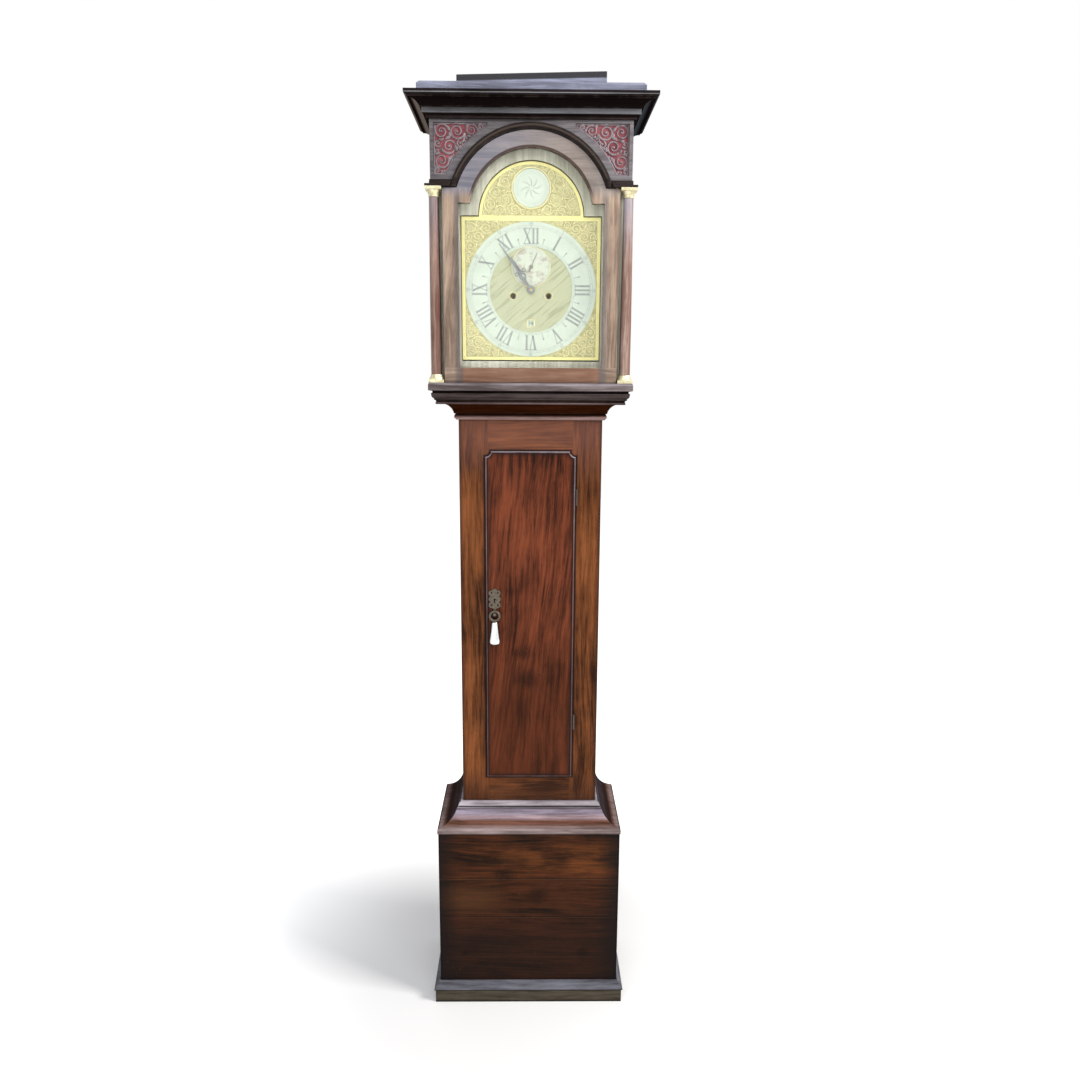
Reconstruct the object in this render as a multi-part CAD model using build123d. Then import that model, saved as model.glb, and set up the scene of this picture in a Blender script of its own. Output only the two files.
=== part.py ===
from build123d import *
import math
import os

os.makedirs("parts", exist_ok=True)

# Eight-day longcase clock, in millimetres. X runs to the right seen from the front, Z up, and the front faces -Y.
# Depths are measured from the flat back of the case towards the viewer.

# Heights of the case, from the floor up
SKIRTING_FACE = 38
SKIRTING_HEIGHT = 55
BASE_HEIGHT = 457
WAIST_MOULDING_HEIGHT = 61
TRUNK_HEIGHT = 945
THROAT_HEIGHT = 40
HOOD_SILL_HEIGHT = 43
HOOD_SHOULDER_HEIGHT = 408
FASCIA_HEIGHT = 136
CORNICE_HEIGHT = 44
BLOCKING_HEIGHT = 23
CAP_LEFT_THICKNESS = 15
CAP_RIGHT_THICKNESS = 24

# Plan of the case
TRUNK_WIDTH = 330
TRUNK_DEPTH = 176
BASE_OVERHANG = 58
SKIRTING_OVERHANG = 15
WAIST_BEAD = 2
HOOD_BESIDE_DOOR = 25
CORNICE_OVERHANG = 47
BLOCKING_OVERHANG = 23
CAP_WIDTH = 312
CAP_FRONT = 236
CAP_BACK = 20

# Board thicknesses
BACKBOARD = 14
SIDE_BOARD = 16
FRONT_BOARD = 18
BASE_BOARD = 16
HOOD_BOARD = 14
TOP_BOARD = 12
JOINT_GAP = 0.1
SEATBOARD = 20
SEATBOARD_BACK = 60
SEATBOARD_FROM_FACE = 10

# Trunk door
STILE_WIDTH = 60
DOOR_RAIL_BELOW = 65
DOOR_RAIL_ABOVE = 72
DOOR_LIP = 6
DOOR_LIP_THICKNESS = 5
DOOR_GAP = 1.6
DOOR_SEAT_GAP = 0.3
DOOR_CORNER = 13
TRUNK_FOOT_INSIDE = 78
CHEEK_HEIGHT = 152

# Trunk door hinges
HINGE_ABOVE_DOOR_FOOT = 144
HINGE_BELOW_DOOR_TOP = 107
HINGE_LENGTH = 38
HINGE_KNUCKLE_RADIUS = 2.5
HINGE_PIN_RADIUS = 1.2
HINGE_LEAF_WIDTH = 8.5
HINGE_LEAF = 1.2
PIN_CLEARANCE = 0.05

# Handle and lock
HANDLE_FROM_DOOR_EDGE = 21
HANDLE_HEIGHT = 1010.4
RING_RADIUS = 11.4
RING_BAR_RADIUS = 3
DROP_LENGTH = 57
DROP_TOP_RADIUS = 6.5
DROP_FOOT_RADIUS = 12
POST_RADIUS = 2
RING_DEPTH_FROM_DOOR = 5
BACKPLATE_WIDTH = 29
BACKPLATE_HEIGHT = 52
BACKPLATE = 1.5
KEYHOLE_RADIUS = 2.5
LOCK_WIDTH = 24
LOCK_HEIGHT = 55
LOCK_THICKNESS = 11
LOCK_WALL = 1.5
LOCK_BOLT_HEIGHT = 16
LOCK_BOLT_THICKNESS = 5
LOCK_BOLT_LENGTH = 22
LOCK_CLEARANCE = 0.3

# Hood
HOOD_SLIDING_GAP = 0.3
SILL_INNER_GAP = 2
ARCH_CENTRE_BELOW_SHOULDER = 51
DOOR_ARCH_RADIUS = 167
DOOR_OPENING_RADIUS = 133
HOOD_DOOR_STILE = 33
HOOD_DOOR_WIDTH = 380
HOOD_DOOR_BOTTOM_RAIL = 33
HOOD_DOOR_GAP = 2
HOOD_DOOR_THICKNESS = 20
OPENING_SHOULDER_BELOW = 30
GLASS_REBATE = 6
GLASS_REBATE_DEPTH = 7
GLASS_THICKNESS = 3
ARCH_MOULDING_WIDTH = 13
ARCH_MOULDING_PROUD = 6
FRIEZE_MOULDING_HEIGHT = 14
FRIEZE_RETURN = 12
FRIEZE_RETURN_LENGTH = 27
FRIEZE_FILLET = 5
FASCIA_THICKNESS = 18
FASCIA_ABOVE_SHOULDER = 2
FRET_OUTER = 8
FRET_TOP = 7
FRET_FOOT = 26
FRET_RADIUS = 196
FRET_THICKNESS = 3
FRET_GAP = 0.15
FRET_INSET = 2
FRET_BORDER = 4
FRET_HOLE = 7
SILK_THICKNESS = 1
MASK_THICKNESS = 4
MASK_CLEARANCE = 1.5
MASK_FROM_DOOR = 8
PIVOT_RADIUS = 2
PIVOT_FROM_EDGE = 7
PIVOT_FROM_FACE = 3.2
PIVOT_LENGTH = 8
STRAP_THICKNESS = 1

# Columns
COLUMN_RADIUS = 12
COLUMN_NECK_RADIUS = 10.5
COLUMN_FROM_HOOD_EDGE = 6
COLUMN_BEHIND_FACE = 10
COLUMN_BASE_HEIGHT = 18
COLUMN_BASE_WIDTH = 34
CAPITAL_HEIGHT = 20
CAPITAL_WIDTH = 35

# Dial
DIAL_WIDTH = 305
DIAL_FACE_DEPTH = 190
DIAL_PLATE = 2.5
DIAL_ARCH_RADIUS = 114
DIAL_CENTRE_BELOW_TOP = 153.4
CHAPTER_RING_OUTER = 144
CHAPTER_RING_INNER = 91.5
RING_THICKNESS = 1.5
SECONDS_RING_OUTER = 42
SECONDS_RING_INNER = 5
BOSS_RADIUS = 40
BOSS_ABOVE_ARCH_CENTRE = 59
BOSS_THICKNESS = 3
SPANDREL_THICKNESS = 2
SPANDREL_EDGE = 7
ARCH_CASTING = (128, 96)
DATE_RADIUS = 72
DATE_WINDOW = 14
DATE_RING_INNER = 62
DATE_RING_OUTER = 81
DATE_RING_THICKNESS = 2
DATE_TEETH = 62
DATE_TOOTH = 3
DIAL_FOOT_RADIUS = 3.5
DIAL_FOOT_FROM_EDGE = 6
RUNNING_GAP = 0.3

# Hands, at six minutes to eleven
HOUR_AT_REST = 10.9
SECOND_AT_REST = 4
MINUTE_HAND_LENGTH = 120
HOUR_HAND_LENGTH = 82
SECONDS_HAND_LENGTH = 33
HAND_THICKNESS = 1.2
HAND_HALF_WIDTH = 2.2

# Movement
PLATE_WIDTH = 136
MINUTE_STUD_RADIUS = 1.5
PLATE_HEIGHT = 178
PLATE = 3
BACK_PLATE_DEPTH = 89
PLATE_SPACING = 62
PILLAR_RADIUS = 5
PILLAR_FROM_EDGE = 18
PILLAR_FROM_END = 9
CENTRE_ABOVE_SEAT = 73.6
WINDING_X = 39.3
WINDING_BELOW_CENTRE = 12.8
SECONDS_ABOVE_CENTRE = 49
PALLETS_ABOVE_ESCAPE = 35.4
DRUM_RADIUS = 24.5
DRUM_FLANGE = 3.5
DRUM_START = 106
DRUM_LENGTH = 37
WHEEL_THICKNESS = 2
ARBOR_RADIUS = 1.5
WINDING_ARBOR_RADIUS = 4
WINDING_SQUARE = 6
WINDING_HOLE_RADIUS = 6.3
PIVOT_BORE_GAP = 0.05
CANNON_RADIUS = 4
HOUR_PIPE_RADIUS = 5.5
CENTRE_ARBOR_RADIUS = 2.5

# Teeth, as shares of the module and of the pitch
WHEEL_ADDENDUM = 0.55
WHEEL_DEDENDUM = 1.1
WHEEL_TIP = 0.20
WHEEL_ROOT = 0.50
LEAF_ADDENDUM = 0.50
LEAF_DEDENDUM = 1.25
LEAF_TIP = 0.16
LEAF_ROOT = 0.34

# Trains: teeth of each wheel and of the pinion that it drives, and their module
GREAT_TEETH, CENTRE_LEAVES, GREAT_MODULE = 96, 8, 0.794
CENTRE_TEETH, THIRD_LEAVES, CENTRE_MODULE = 60, 8, 0.8
THIRD_TEETH, ESCAPE_LEAVES, THIRD_MODULE = 56, 7, 0.76
CANNON_TEETH, MINUTE_TEETH, CANNON_MODULE = 36, 36, 0.8
HOUR_TEETH, MINUTE_LEAVES = 72, 6
STRIKE_TEETH, PIN_LEAVES, STRIKE_MODULE = 84, 8, 0.84
PIN_TEETH, LOCKING_LEAVES, PIN_MODULE = 64, 8, 0.72
LOCKING_TEETH, FLY_LEAVES, LOCKING_MODULE = 56, 7, 0.62
ESCAPE_TEETH = 30
ESCAPE_RADIUS = 17.5
ESCAPE_ROOT_RADIUS = 14.3
ESCAPE_TOOTH = ((ESCAPE_ROOT_RADIUS, -0.35), (ESCAPE_RADIUS, -0.08), (ESCAPE_RADIUS, 0), (ESCAPE_ROOT_RADIUS, 0.1))
PIN_WHEEL_ANGLE = 94
LOCKING_WHEEL_ANGLE = 67.3
FLY_ANGLE = 107.9
LIFTING_PINS = 8
LIFTING_PIN_CIRCLE = 17
LIFTING_PIN_RADIUS = 1.2
FLY_RADIUS = 13
FLY_LENGTH = 22

# Bell and hammer
BELL_RADIUS = 50
BELL_WALL = 3
BELL_RIM_ABOVE_SEAT = 195
HAMMER_X = -60
HAMMER_ABOVE_SEAT = 130
HAMMER_HEAD_RADIUS = 6
HAMMER_HEAD_LENGTH = 14
HAMMER_GAP = 1.8

# Pendulum
PENDULUM_DEPTH = 45
BOB_RADIUS = 57
BOB_THICKNESS = 24
BOB_BELOW_SUSPENSION = 1019
ROD_HALF_WIDTH = 3
ROD_THICKNESS = 3
CRUTCH_LENGTH = 105
NUT_RADIUS = 8
NUT_HEIGHT = 9

# Weights
WEIGHT_RADIUS = 29
WEIGHT_HEIGHT = 200
LINE_DEPTH = 125
LINE_DIAMETER = 1.6
LINE_GAP = 0.3
KNOT_RADIUS = 2.4
PULLEY_CENTRE_HEIGHT = 1240
PULLEY_THICKNESS = 8
PULLEY_FLANGE = 2.5
STIRRUP_THICKNESS = 2
STIRRUP_GAP = 0.5
HOOK_LENGTH = 26
HOOK_RADIUS = 2.2

# Places worked out from the sizes above
BASE_TOP = BASE_HEIGHT
TRUNK_FOOT = BASE_TOP + WAIST_MOULDING_HEIGHT
TRUNK_TOP = TRUNK_FOOT + TRUNK_HEIGHT
THROAT_TOP = TRUNK_TOP + THROAT_HEIGHT
SILL_TOP = THROAT_TOP + HOOD_SILL_HEIGHT
SHOULDER = SILL_TOP + HOOD_SHOULDER_HEIGHT
ARCH_Z = SHOULDER - ARCH_CENTRE_BELOW_SHOULDER
CORNICE_FOOT = SHOULDER + FASCIA_HEIGHT
CORNICE_TOP = CORNICE_FOOT + CORNICE_HEIGHT
BLOCKING_TOP = CORNICE_TOP + BLOCKING_HEIGHT
TRUNK_X = TRUNK_WIDTH / 2
BASE_X = TRUNK_X + BASE_OVERHANG
BASE_DEPTH = TRUNK_DEPTH + BASE_OVERHANG
HOOD_X = HOOD_DOOR_WIDTH / 2 + HOOD_BESIDE_DOOR
HOOD_OVERHANG = HOOD_X - TRUNK_X
HOOD_DEPTH = TRUNK_DEPTH + HOOD_OVERHANG - 1
COLUMN_CENTRE_X = HOOD_X - COLUMN_FROM_HOOD_EDGE
COLUMN_CENTRE_DEPTH = HOOD_DEPTH - COLUMN_BEHIND_FACE
HOOD_INNER_X = HOOD_X - HOOD_BOARD
BACK_Y = (HOOD_DEPTH + CORNICE_OVERHANG) / 2
CHEEK_TOP = THROAT_TOP + CHEEK_HEIGHT
SEAT_TOP = CHEEK_TOP + SEATBOARD
CENTRE_Z = SEAT_TOP + CENTRE_ABOVE_SEAT
BARREL_Z = CENTRE_Z - WINDING_BELOW_CENTRE
ESCAPE_Z = CENTRE_Z + SECONDS_ABOVE_CENTRE
PALLET_Z = ESCAPE_Z + PALLETS_ABOVE_ESCAPE
FRONT_PLATE_DEPTH = BACK_PLATE_DEPTH + PLATE + PLATE_SPACING
FRONT_PLATE_FACE = FRONT_PLATE_DEPTH + PLATE
DIAL_TOP = CENTRE_Z + DIAL_CENTRE_BELOW_TOP
DIAL_BACK_DEPTH = DIAL_FACE_DEPTH - DIAL_PLATE
HOOD_DOOR_FACE = HOOD_DEPTH
HOOD_DOOR_BACK = HOOD_DOOR_FACE - HOOD_DOOR_THICKNESS
MASK_FACE = HOOD_DOOR_BACK - MASK_FROM_DOOR
MASK_BACK = MASK_FACE - MASK_THICKNESS
HOOD_DOOR_FOOT = SILL_TOP + HOOD_SLIDING_GAP
DOOR_X = TRUNK_X - STILE_WIDTH
DOOR_FOOT = TRUNK_FOOT + DOOR_RAIL_BELOW
DOOR_TOP = TRUNK_TOP - DOOR_RAIL_ABOVE
DOOR_LIP_BACK = TRUNK_DEPTH + DOOR_SEAT_GAP
DOOR_FACE = DOOR_LIP_BACK + DOOR_LIP_THICKNESS
FRAME_BACK = TRUNK_DEPTH - FRONT_BOARD
LINE_RADIUS = DRUM_RADIUS + LINE_DIAMETER / 2 + LINE_GAP


def y_at(depth):
    """The Y of a plane at this depth from the back of the case."""
    return BACK_Y - depth


def board(x0, x1, d0, d1, z0, z1):
    """A plain board between two widths, two depths and two heights."""
    centre = Pos((x0 + x1) / 2, y_at((d0 + d1) / 2), (z0 + z1) / 2)
    return centre * Box(x1 - x0, d1 - d0, z1 - z0)


def slab(face, d0, d1):
    """A face drawn in front view, thickened from depth d0 to depth d1."""
    plane = Plane(origin=(0, y_at(d0), 0), x_dir=(1, 0, 0), z_dir=(0, -1, 0))
    return extrude(plane * face, amount=d1 - d0)


def disc(x, z, radius, d0, d1):
    """A round bar along the depth of the case."""
    return slab(Pos(x, z) * Circle(radius), d0, d1)


def side_bar(x0, x1, depth, z, radius):
    """A round bar along the width of the case."""
    plane = Plane(origin=(x0, y_at(depth), z), x_dir=(0, 1, 0), z_dir=(1, 0, 0))
    return extrude(plane * Circle(radius), amount=x1 - x0)


def post(x, depth, z0, z1, radius):
    """A round upright bar."""
    return Pos(x, y_at(depth), (z0 + z1) / 2) * Cylinder(radius, z1 - z0)


def face_of(points):
    """A closed face from its corners."""
    return make_face(Polyline(*points, close=True))


def mirrored(solid):
    """The same solid on the other side of the clock."""
    return mirror(solid, about=Plane.YZ)


def polar(centre, distance, degrees):
    """The point at a distance and an angle from another in front view."""
    angle = math.radians(degrees)
    return (centre[0] + distance * math.cos(angle), centre[1] + distance * math.sin(angle))


def save(name, *solids):
    """Write the solids of one piece, or group of like pieces, under its name."""
    found = []
    for item in solids:
        found.extend(item.solids())
    shape = found[0] if len(found) == 1 else Compound(children=found)
    export_step(shape, f"parts/{name}.step")


# Mouldings


def moulding_face(steps):
    """A section from corners, where a third number is the rise of the arc that reaches that corner."""
    edges = []
    for start, step in zip(steps, steps[1:] + steps[:1]):
        if len(step) == 3:
            edges.append(SagittaArc(start[:2], step[:2], step[2]))
        else:
            edges.append(Line(start[:2], step[:2]))
    return make_face(Curve() + edges)


def mitred_run(steps, reference_x, reference_depth, z0):
    """Front, right and left lengths of a moulding round three sides, mitred at the front corners."""
    face = moulding_face(steps)
    reach = max(step[0] for step in steps) + 1
    height = max(step[1] for step in steps) + 1
    half = reference_x + reach
    across = Plane(origin=(half, y_at(reference_depth), z0), x_dir=(0, -1, 0), z_dir=(-1, 0, 0))
    along = Plane(origin=(reference_x, y_at(0), z0), x_dir=(1, 0, 0), z_dir=(0, -1, 0))
    front = extrude(across * face, amount=2 * half)
    side = extrude(along * face, amount=reference_depth + reach)
    near, far = y_at(reference_depth), y_at(reference_depth + reach)
    inner, outer = reference_x - JOINT_GAP, half - JOINT_GAP
    front_plan = face_of([(-inner, near), (inner, near), (outer, far), (-outer, far)])
    side_plan = face_of([(reference_x, y_at(0)), (half, y_at(0)), (half, far), (reference_x, near)])
    low = Pos(0, 0, z0 - 1)
    front = front & extrude(low * front_plan, amount=height + 2)
    side = side & extrude(low * side_plan, amount=height + 2)
    return front, side, mirrored(side)


SKIRTING_SECTION = [
    (0, 0),
    (SKIRTING_OVERHANG - 3, 0),
    (SKIRTING_OVERHANG - 3, SKIRTING_FACE - 5),
    (SKIRTING_OVERHANG, SKIRTING_FACE - 3.5),
    (SKIRTING_OVERHANG, SKIRTING_FACE),
    (3, SKIRTING_HEIGHT - 3, 1.5),
    (3, SKIRTING_HEIGHT),
    (0, SKIRTING_HEIGHT),
]
WAIST_OUT = BASE_OVERHANG + WAIST_BEAD
WAIST_SECTION = [
    (0, 0),
    (WAIST_OUT - 3, 0),
    (WAIST_OUT, 3, -0.8),
    (WAIST_OUT, 10),
    (WAIST_OUT - 4, 15, -1.2),
    (WAIST_OUT - 7, 15),
    (15, WAIST_MOULDING_HEIGHT - 14, 8),
    (13, WAIST_MOULDING_HEIGHT - 12),
    (8.5, WAIST_MOULDING_HEIGHT - 12),
    (12, WAIST_MOULDING_HEIGHT - 9),
    (10, WAIST_MOULDING_HEIGHT - 4),
    (4, WAIST_MOULDING_HEIGHT, -1.2),
    (0, WAIST_MOULDING_HEIGHT),
]
THROAT_SECTION = [
    (0, 0),
    (5, 0),
    (7, 3),
    (9.5, 7, -0.8),
    (8, 12),
    (6, 13),
    (10, 15),
    (HOOD_OVERHANG - 5, THROAT_HEIGHT - 4, 9),
    (HOOD_OVERHANG - 3, THROAT_HEIGHT - 4),
    (HOOD_OVERHANG - 3, THROAT_HEIGHT),
    (0, THROAT_HEIGHT),
]
SILL_OUT = HOOD_OVERHANG - SILL_INNER_GAP
SILL_SECTION = [
    (0, HOOD_SLIDING_GAP),
    (SILL_OUT - 4, HOOD_SLIDING_GAP),
    (SILL_OUT - 4, 4),
    (SILL_OUT, 6),
    (SILL_OUT, 9),
    (SILL_OUT + 5, 14, -1),
    (SILL_OUT + 6, 20),
    (SILL_OUT + 3, 21.5),
    (SILL_OUT + 3, 25),
    (SILL_OUT + 11.5, 26.5),
    (SILL_OUT + 11.5, 38),
    (SILL_OUT + 10, HOOD_SILL_HEIGHT),
    (0, HOOD_SILL_HEIGHT),
]
CORNICE_SECTION = [
    (0, 0),
    (6, 0),
    (6, 5),
    (9, 5),
    (14, 8, -1.2),
    (14, 19),
    (18, 19),
    (CORNICE_OVERHANG - 7, 31, 4),
    (CORNICE_OVERHANG - 7, 34),
    (CORNICE_OVERHANG - 3, 34),
    (CORNICE_OVERHANG, 37),
    (CORNICE_OVERHANG, CORNICE_HEIGHT),
    (0, CORNICE_HEIGHT),
]


# Wheels


def pitch_radius(teeth, module):
    """The radius at which a wheel rolls on its pinion."""
    return teeth * module / 2


def toothed(teeth, module, centre, gap_towards, shape=None):
    """A toothed face with straight-sided teeth, turned so that a gap points in one direction."""
    addendum, dedendum, tip, root = shape or (WHEEL_ADDENDUM, WHEEL_DEDENDUM, WHEEL_TIP, WHEEL_ROOT)
    inner = pitch_radius(teeth, module) - dedendum * module
    outer = pitch_radius(teeth, module) + addendum * module
    pitch = 360 / teeth
    points = []
    for tooth in range(teeth):
        middle = gap_towards + (tooth + 0.5) * pitch
        for radius, share in ((inner, -root), (outer, -tip), (outer, tip), (inner, root)):
            points.append(polar(centre, radius, middle + share * pitch / 2))
    return face_of(points)


def leaves(teeth, module, centre, leaf_towards):
    """A pinion's face, turned so that a leaf points in one direction."""
    shape = (LEAF_ADDENDUM, LEAF_DEDENDUM, LEAF_TIP, LEAF_ROOT)
    return toothed(teeth, module, centre, leaf_towards + 180 / teeth, shape)


def crossings(centre, hub, rim, arm):
    """The four windows of a crossed-out wheel."""
    ring = Circle(rim) - Circle(hub) - Rectangle(2 * rim, arm) - Rectangle(arm, 2 * rim)
    return Pos(*centre) * ring


def arbor(centre, d0, d1, radius=ARBOR_RADIUS):
    """An arbor between the plates, with its end shake and a thinner pivot in each plate."""
    shake = 0.3
    body = disc(*centre, radius, d0 + shake, d1 - shake)
    return body + disc(*centre, PIVOT_RADIUS_FINE, d0 - PLATE, d1 + PLATE)


PIVOT_RADIUS_FINE = 0.9
INSIDE_BACK = BACK_PLATE_DEPTH + PLATE
INSIDE_FRONT = FRONT_PLATE_DEPTH

# Where the arbors stand in front view
CENTRE = (0, CENTRE_Z)
ESCAPE = (0, ESCAPE_Z)
PALLETS = (0, PALLET_Z)
GOING = (WINDING_X, BARREL_Z)
STRIKE = (-WINDING_X, BARREL_Z)
CENTRE_TO_THIRD = pitch_radius(CENTRE_TEETH + THIRD_LEAVES, CENTRE_MODULE)
THIRD_TO_ESCAPE = pitch_radius(THIRD_TEETH + ESCAPE_LEAVES, THIRD_MODULE)
THIRD_RISE = (CENTRE_TO_THIRD**2 - THIRD_TO_ESCAPE**2 + SECONDS_ABOVE_CENTRE**2) / (2 * SECONDS_ABOVE_CENTRE)
THIRD = (math.sqrt(CENTRE_TO_THIRD**2 - THIRD_RISE**2), CENTRE_Z + THIRD_RISE)
CANNON_TO_MINUTE = pitch_radius(CANNON_TEETH + MINUTE_TEETH, CANNON_MODULE)
MINUTE = (0, CENTRE_Z - CANNON_TO_MINUTE)
HOUR_MODULE = 2 * CANNON_TO_MINUTE / (HOUR_TEETH + MINUTE_LEAVES)
PIN = polar(STRIKE, pitch_radius(STRIKE_TEETH + PIN_LEAVES, STRIKE_MODULE), PIN_WHEEL_ANGLE)
LOCKING = polar(PIN, pitch_radius(PIN_TEETH + LOCKING_LEAVES, PIN_MODULE), LOCKING_WHEEL_ANGLE)
FLY = polar(LOCKING, pitch_radius(LOCKING_TEETH + FLY_LEAVES, LOCKING_MODULE), FLY_ANGLE)
HAMMER = (HAMMER_X, SEAT_TOP + HAMMER_ABOVE_SEAT)

# Depths of the wheels, from the back plate forwards
GREAT_START = 99.5
THIRD_WHEEL_START = 95
CENTRE_WHEEL_START = 147
PIN_WHEEL_START = 144.8
LOCKING_WHEEL_START = 136
ESCAPE_START = 112
MOTION_START = 159.5
HOUR_WHEEL_START = 164
LEAF_LENGTH = 5


def towards(a, b):
    """The direction from one point to another in front view, in degrees."""
    return math.degrees(math.atan2(b[1] - a[1], b[0] - a[0]))


def wheel(teeth, module, centre, partner, start, rim=4, hub=6, arm=3.5, bore=0):
    """A crossed-out wheel whose teeth leave a gap towards the arbor that it drives."""
    face = toothed(teeth, module, centre, towards(centre, partner))
    face -= crossings(centre, hub, pitch_radius(teeth, module) - rim, arm)
    if bore:
        face -= Pos(*centre) * Circle(bore)
    return slab(face, start, start + WHEEL_THICKNESS)


def pinion(teeth, module, centre, partner, start, length=LEAF_LENGTH):
    """A solid pinion with a leaf towards the wheel that drives it."""
    return slab(leaves(teeth, module, centre, towards(centre, partner)), start, start + length)


# Case


def backboard():
    """The full-height backboard, wider behind the base and behind the hood."""
    ears = HOOD_INNER_X - 1
    foot = BASE_X - BASE_BOARD
    shoulder = SILL_TOP + 2
    half = [
        (foot, 0),
        (foot, BASE_TOP),
        (TRUNK_X, BASE_TOP),
        (TRUNK_X, shoulder),
        (ears, shoulder),
        (ears, CORNICE_FOOT - 2),
    ]
    return slab(face_of(half + [(-x, z) for x, z in reversed(half)]), 0, BACKBOARD)


def base_panels():
    """Front panel, two sides and the glue blocks in their corners."""
    front = board(-BASE_X, BASE_X, BASE_DEPTH - BASE_BOARD, BASE_DEPTH, 0, BASE_TOP)
    side = board(BASE_X - BASE_BOARD, BASE_X, 0, BASE_DEPTH - BASE_BOARD - JOINT_GAP, 0, BASE_TOP)
    block = 22
    length = 110
    blocks = []
    for z0 in (30, (BASE_TOP - length) / 2 + 10, BASE_TOP - length - 10):
        x1 = BASE_X - BASE_BOARD - JOINT_GAP
        d1 = BASE_DEPTH - BASE_BOARD - JOINT_GAP
        blocks.append(board(x1 - block, x1, d1 - block, d1, z0, z0 + length))
    others = [mirrored(item) for item in blocks]
    return [front, side, mirrored(side)] + blocks + others


def trunk_sides():
    """The trunk side boards, whose tops are the cheeks that carry the movement."""
    foot = BASE_TOP - TRUNK_FOOT_INSIDE
    side = board(TRUNK_X - SIDE_BOARD, TRUNK_X, BACKBOARD, FRAME_BACK, foot, CHEEK_TOP)
    return side, mirrored(side)


def trunk_front_frame():
    """Two stiles with a rail above and a rail below the door, whose top corners are filled behind the door's."""
    foot = BASE_TOP - TRUNK_FOOT_INSIDE
    inner = DOOR_X - DOOR_LIP
    stile = board(inner, TRUNK_X, FRAME_BACK, TRUNK_DEPTH, foot, THROAT_TOP)
    x, depth = hinge_axis()
    for z in hinge_heights():
        low, high = z - HINGE_LENGTH / 2 - 0.1, z + HINGE_LENGTH / 2 + 0.1
        stile -= board(x - HINGE_LEAF_WIDTH - 0.1, x + 1.1, TRUNK_DEPTH - HINGE_LEAF - 0.05, TRUNK_DEPTH + 1, low, high)
    other = mirrored(board(inner, TRUNK_X, FRAME_BACK, TRUNK_DEPTH, foot, THROAT_TOP))
    reach = inner - JOINT_GAP
    lower = board(-reach, reach, FRAME_BACK, TRUNK_DEPTH, foot, DOOR_FOOT + DOOR_LIP)
    upper_face = Pos(0, (DOOR_TOP - DOOR_LIP + THROAT_TOP) / 2) * Rectangle(2 * reach, THROAT_TOP - DOOR_TOP + DOOR_LIP)
    for side in (-1, 1):
        corner = Pos(side * DOOR_X, DOOR_TOP) * Circle(DOOR_CORNER + DOOR_LIP)
        upper_face += corner & (Pos(side * (reach - 20), DOOR_TOP - 20) * Rectangle(40, 40))
    upper = slab(upper_face, FRAME_BACK, TRUNK_DEPTH)
    return stile, other, lower, upper


def hinge_axis():
    """Width and depth of the trunk door's hinge pins."""
    return DOOR_X + HINGE_KNUCKLE_RADIUS + 0.7, TRUNK_DEPTH + HINGE_LEAF + HINGE_KNUCKLE_RADIUS - 0.3


def hinge_heights():
    return DOOR_FOOT + HINGE_ABOVE_DOOR_FOOT, DOOR_TOP - HINGE_BELOW_DOOR_TOP


def trunk_hinge_case_leaves():
    """The fixed leaves, let into the stile behind the door's lip, with the outer knuckles and the pin."""
    x, depth = hinge_axis()
    solids = []
    for z in hinge_heights():
        third = HINGE_LENGTH / 3
        face = TRUNK_DEPTH
        solid = board(x - HINGE_LEAF_WIDTH, x + 1, face - HINGE_LEAF, face, z - 1.5 * third, z + 1.5 * third)
        for low, high in ((z + third / 2 + 0.2, z + 1.5 * third), (z - 1.5 * third, z - third / 2 - 0.2)):
            solid += post(x, depth, low, high, HINGE_KNUCKLE_RADIUS)
            solid += board(x - 1, x + 1, face - HINGE_LEAF, depth - 1, low, high)
        solids.append(solid + post(x, depth, z - 1.5 * third, z + 1.5 * third, HINGE_PIN_RADIUS))
    return solids


def trunk_hinge_door_leaves(grow=0):
    """The leaves let into the back of the door's lip, with their middle knuckle."""
    x, depth = hinge_axis()
    solids = []
    for z in hinge_heights():
        half = HINGE_LENGTH / 6 - 0.2 + grow
        back = DOOR_LIP_BACK - grow
        leaf = board(x - HINGE_LEAF_WIDTH - grow, x, back, DOOR_LIP_BACK + HINGE_LEAF + grow, z - half, z + half)
        solid = leaf + post(x, depth, z - half, z + half, HINGE_KNUCKLE_RADIUS + grow)
        solids.append(solid - post(x, depth, z - HINGE_LENGTH, z + HINGE_LENGTH, HINGE_PIN_RADIUS + PIN_CLEARANCE))
    return solids


def indented(x, z0, z1, inset=0):
    """A tall rectangle inside the door's outline, whose top corners are cut in."""
    outline = Pos(0, (z0 + z1) / 2) * Rectangle(2 * x, z1 - z0)
    for side in (-1, 1):
        outline -= Pos(side * DOOR_X, DOOR_TOP) * Circle(DOOR_CORNER + inset)
    return outline


def trunk_door():
    """A board that fits the opening, behind a rounded lip that covers the gap."""
    lip = slab(indented(DOOR_X, DOOR_FOOT, DOOR_TOP), DOOR_LIP_BACK, DOOR_FACE)
    front = lip.faces().sort_by(Axis.Y)[0]
    lip = fillet(front.edges(), 0.6 * DOOR_LIP_THICKNESS)
    inset = DOOR_LIP + DOOR_GAP
    body = slab(
        indented(DOOR_X - inset, DOOR_FOOT + inset, DOOR_TOP - inset, inset), FRAME_BACK, DOOR_LIP_BACK
    )
    keyhole = disc(HANDLE_X, KEYHOLE_Z, KEYHOLE_RADIUS, FRAME_BACK - 1, DOOR_FACE + 1)
    keyhole += board(
        HANDLE_X - 1.2, HANDLE_X + 1.2, FRAME_BACK - 1, DOOR_FACE + 1, KEYHOLE_Z - 8, KEYHOLE_Z
    )
    door = lip + body - keyhole
    for recess in trunk_hinge_door_leaves(0.05):
        door -= recess
    return door


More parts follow.
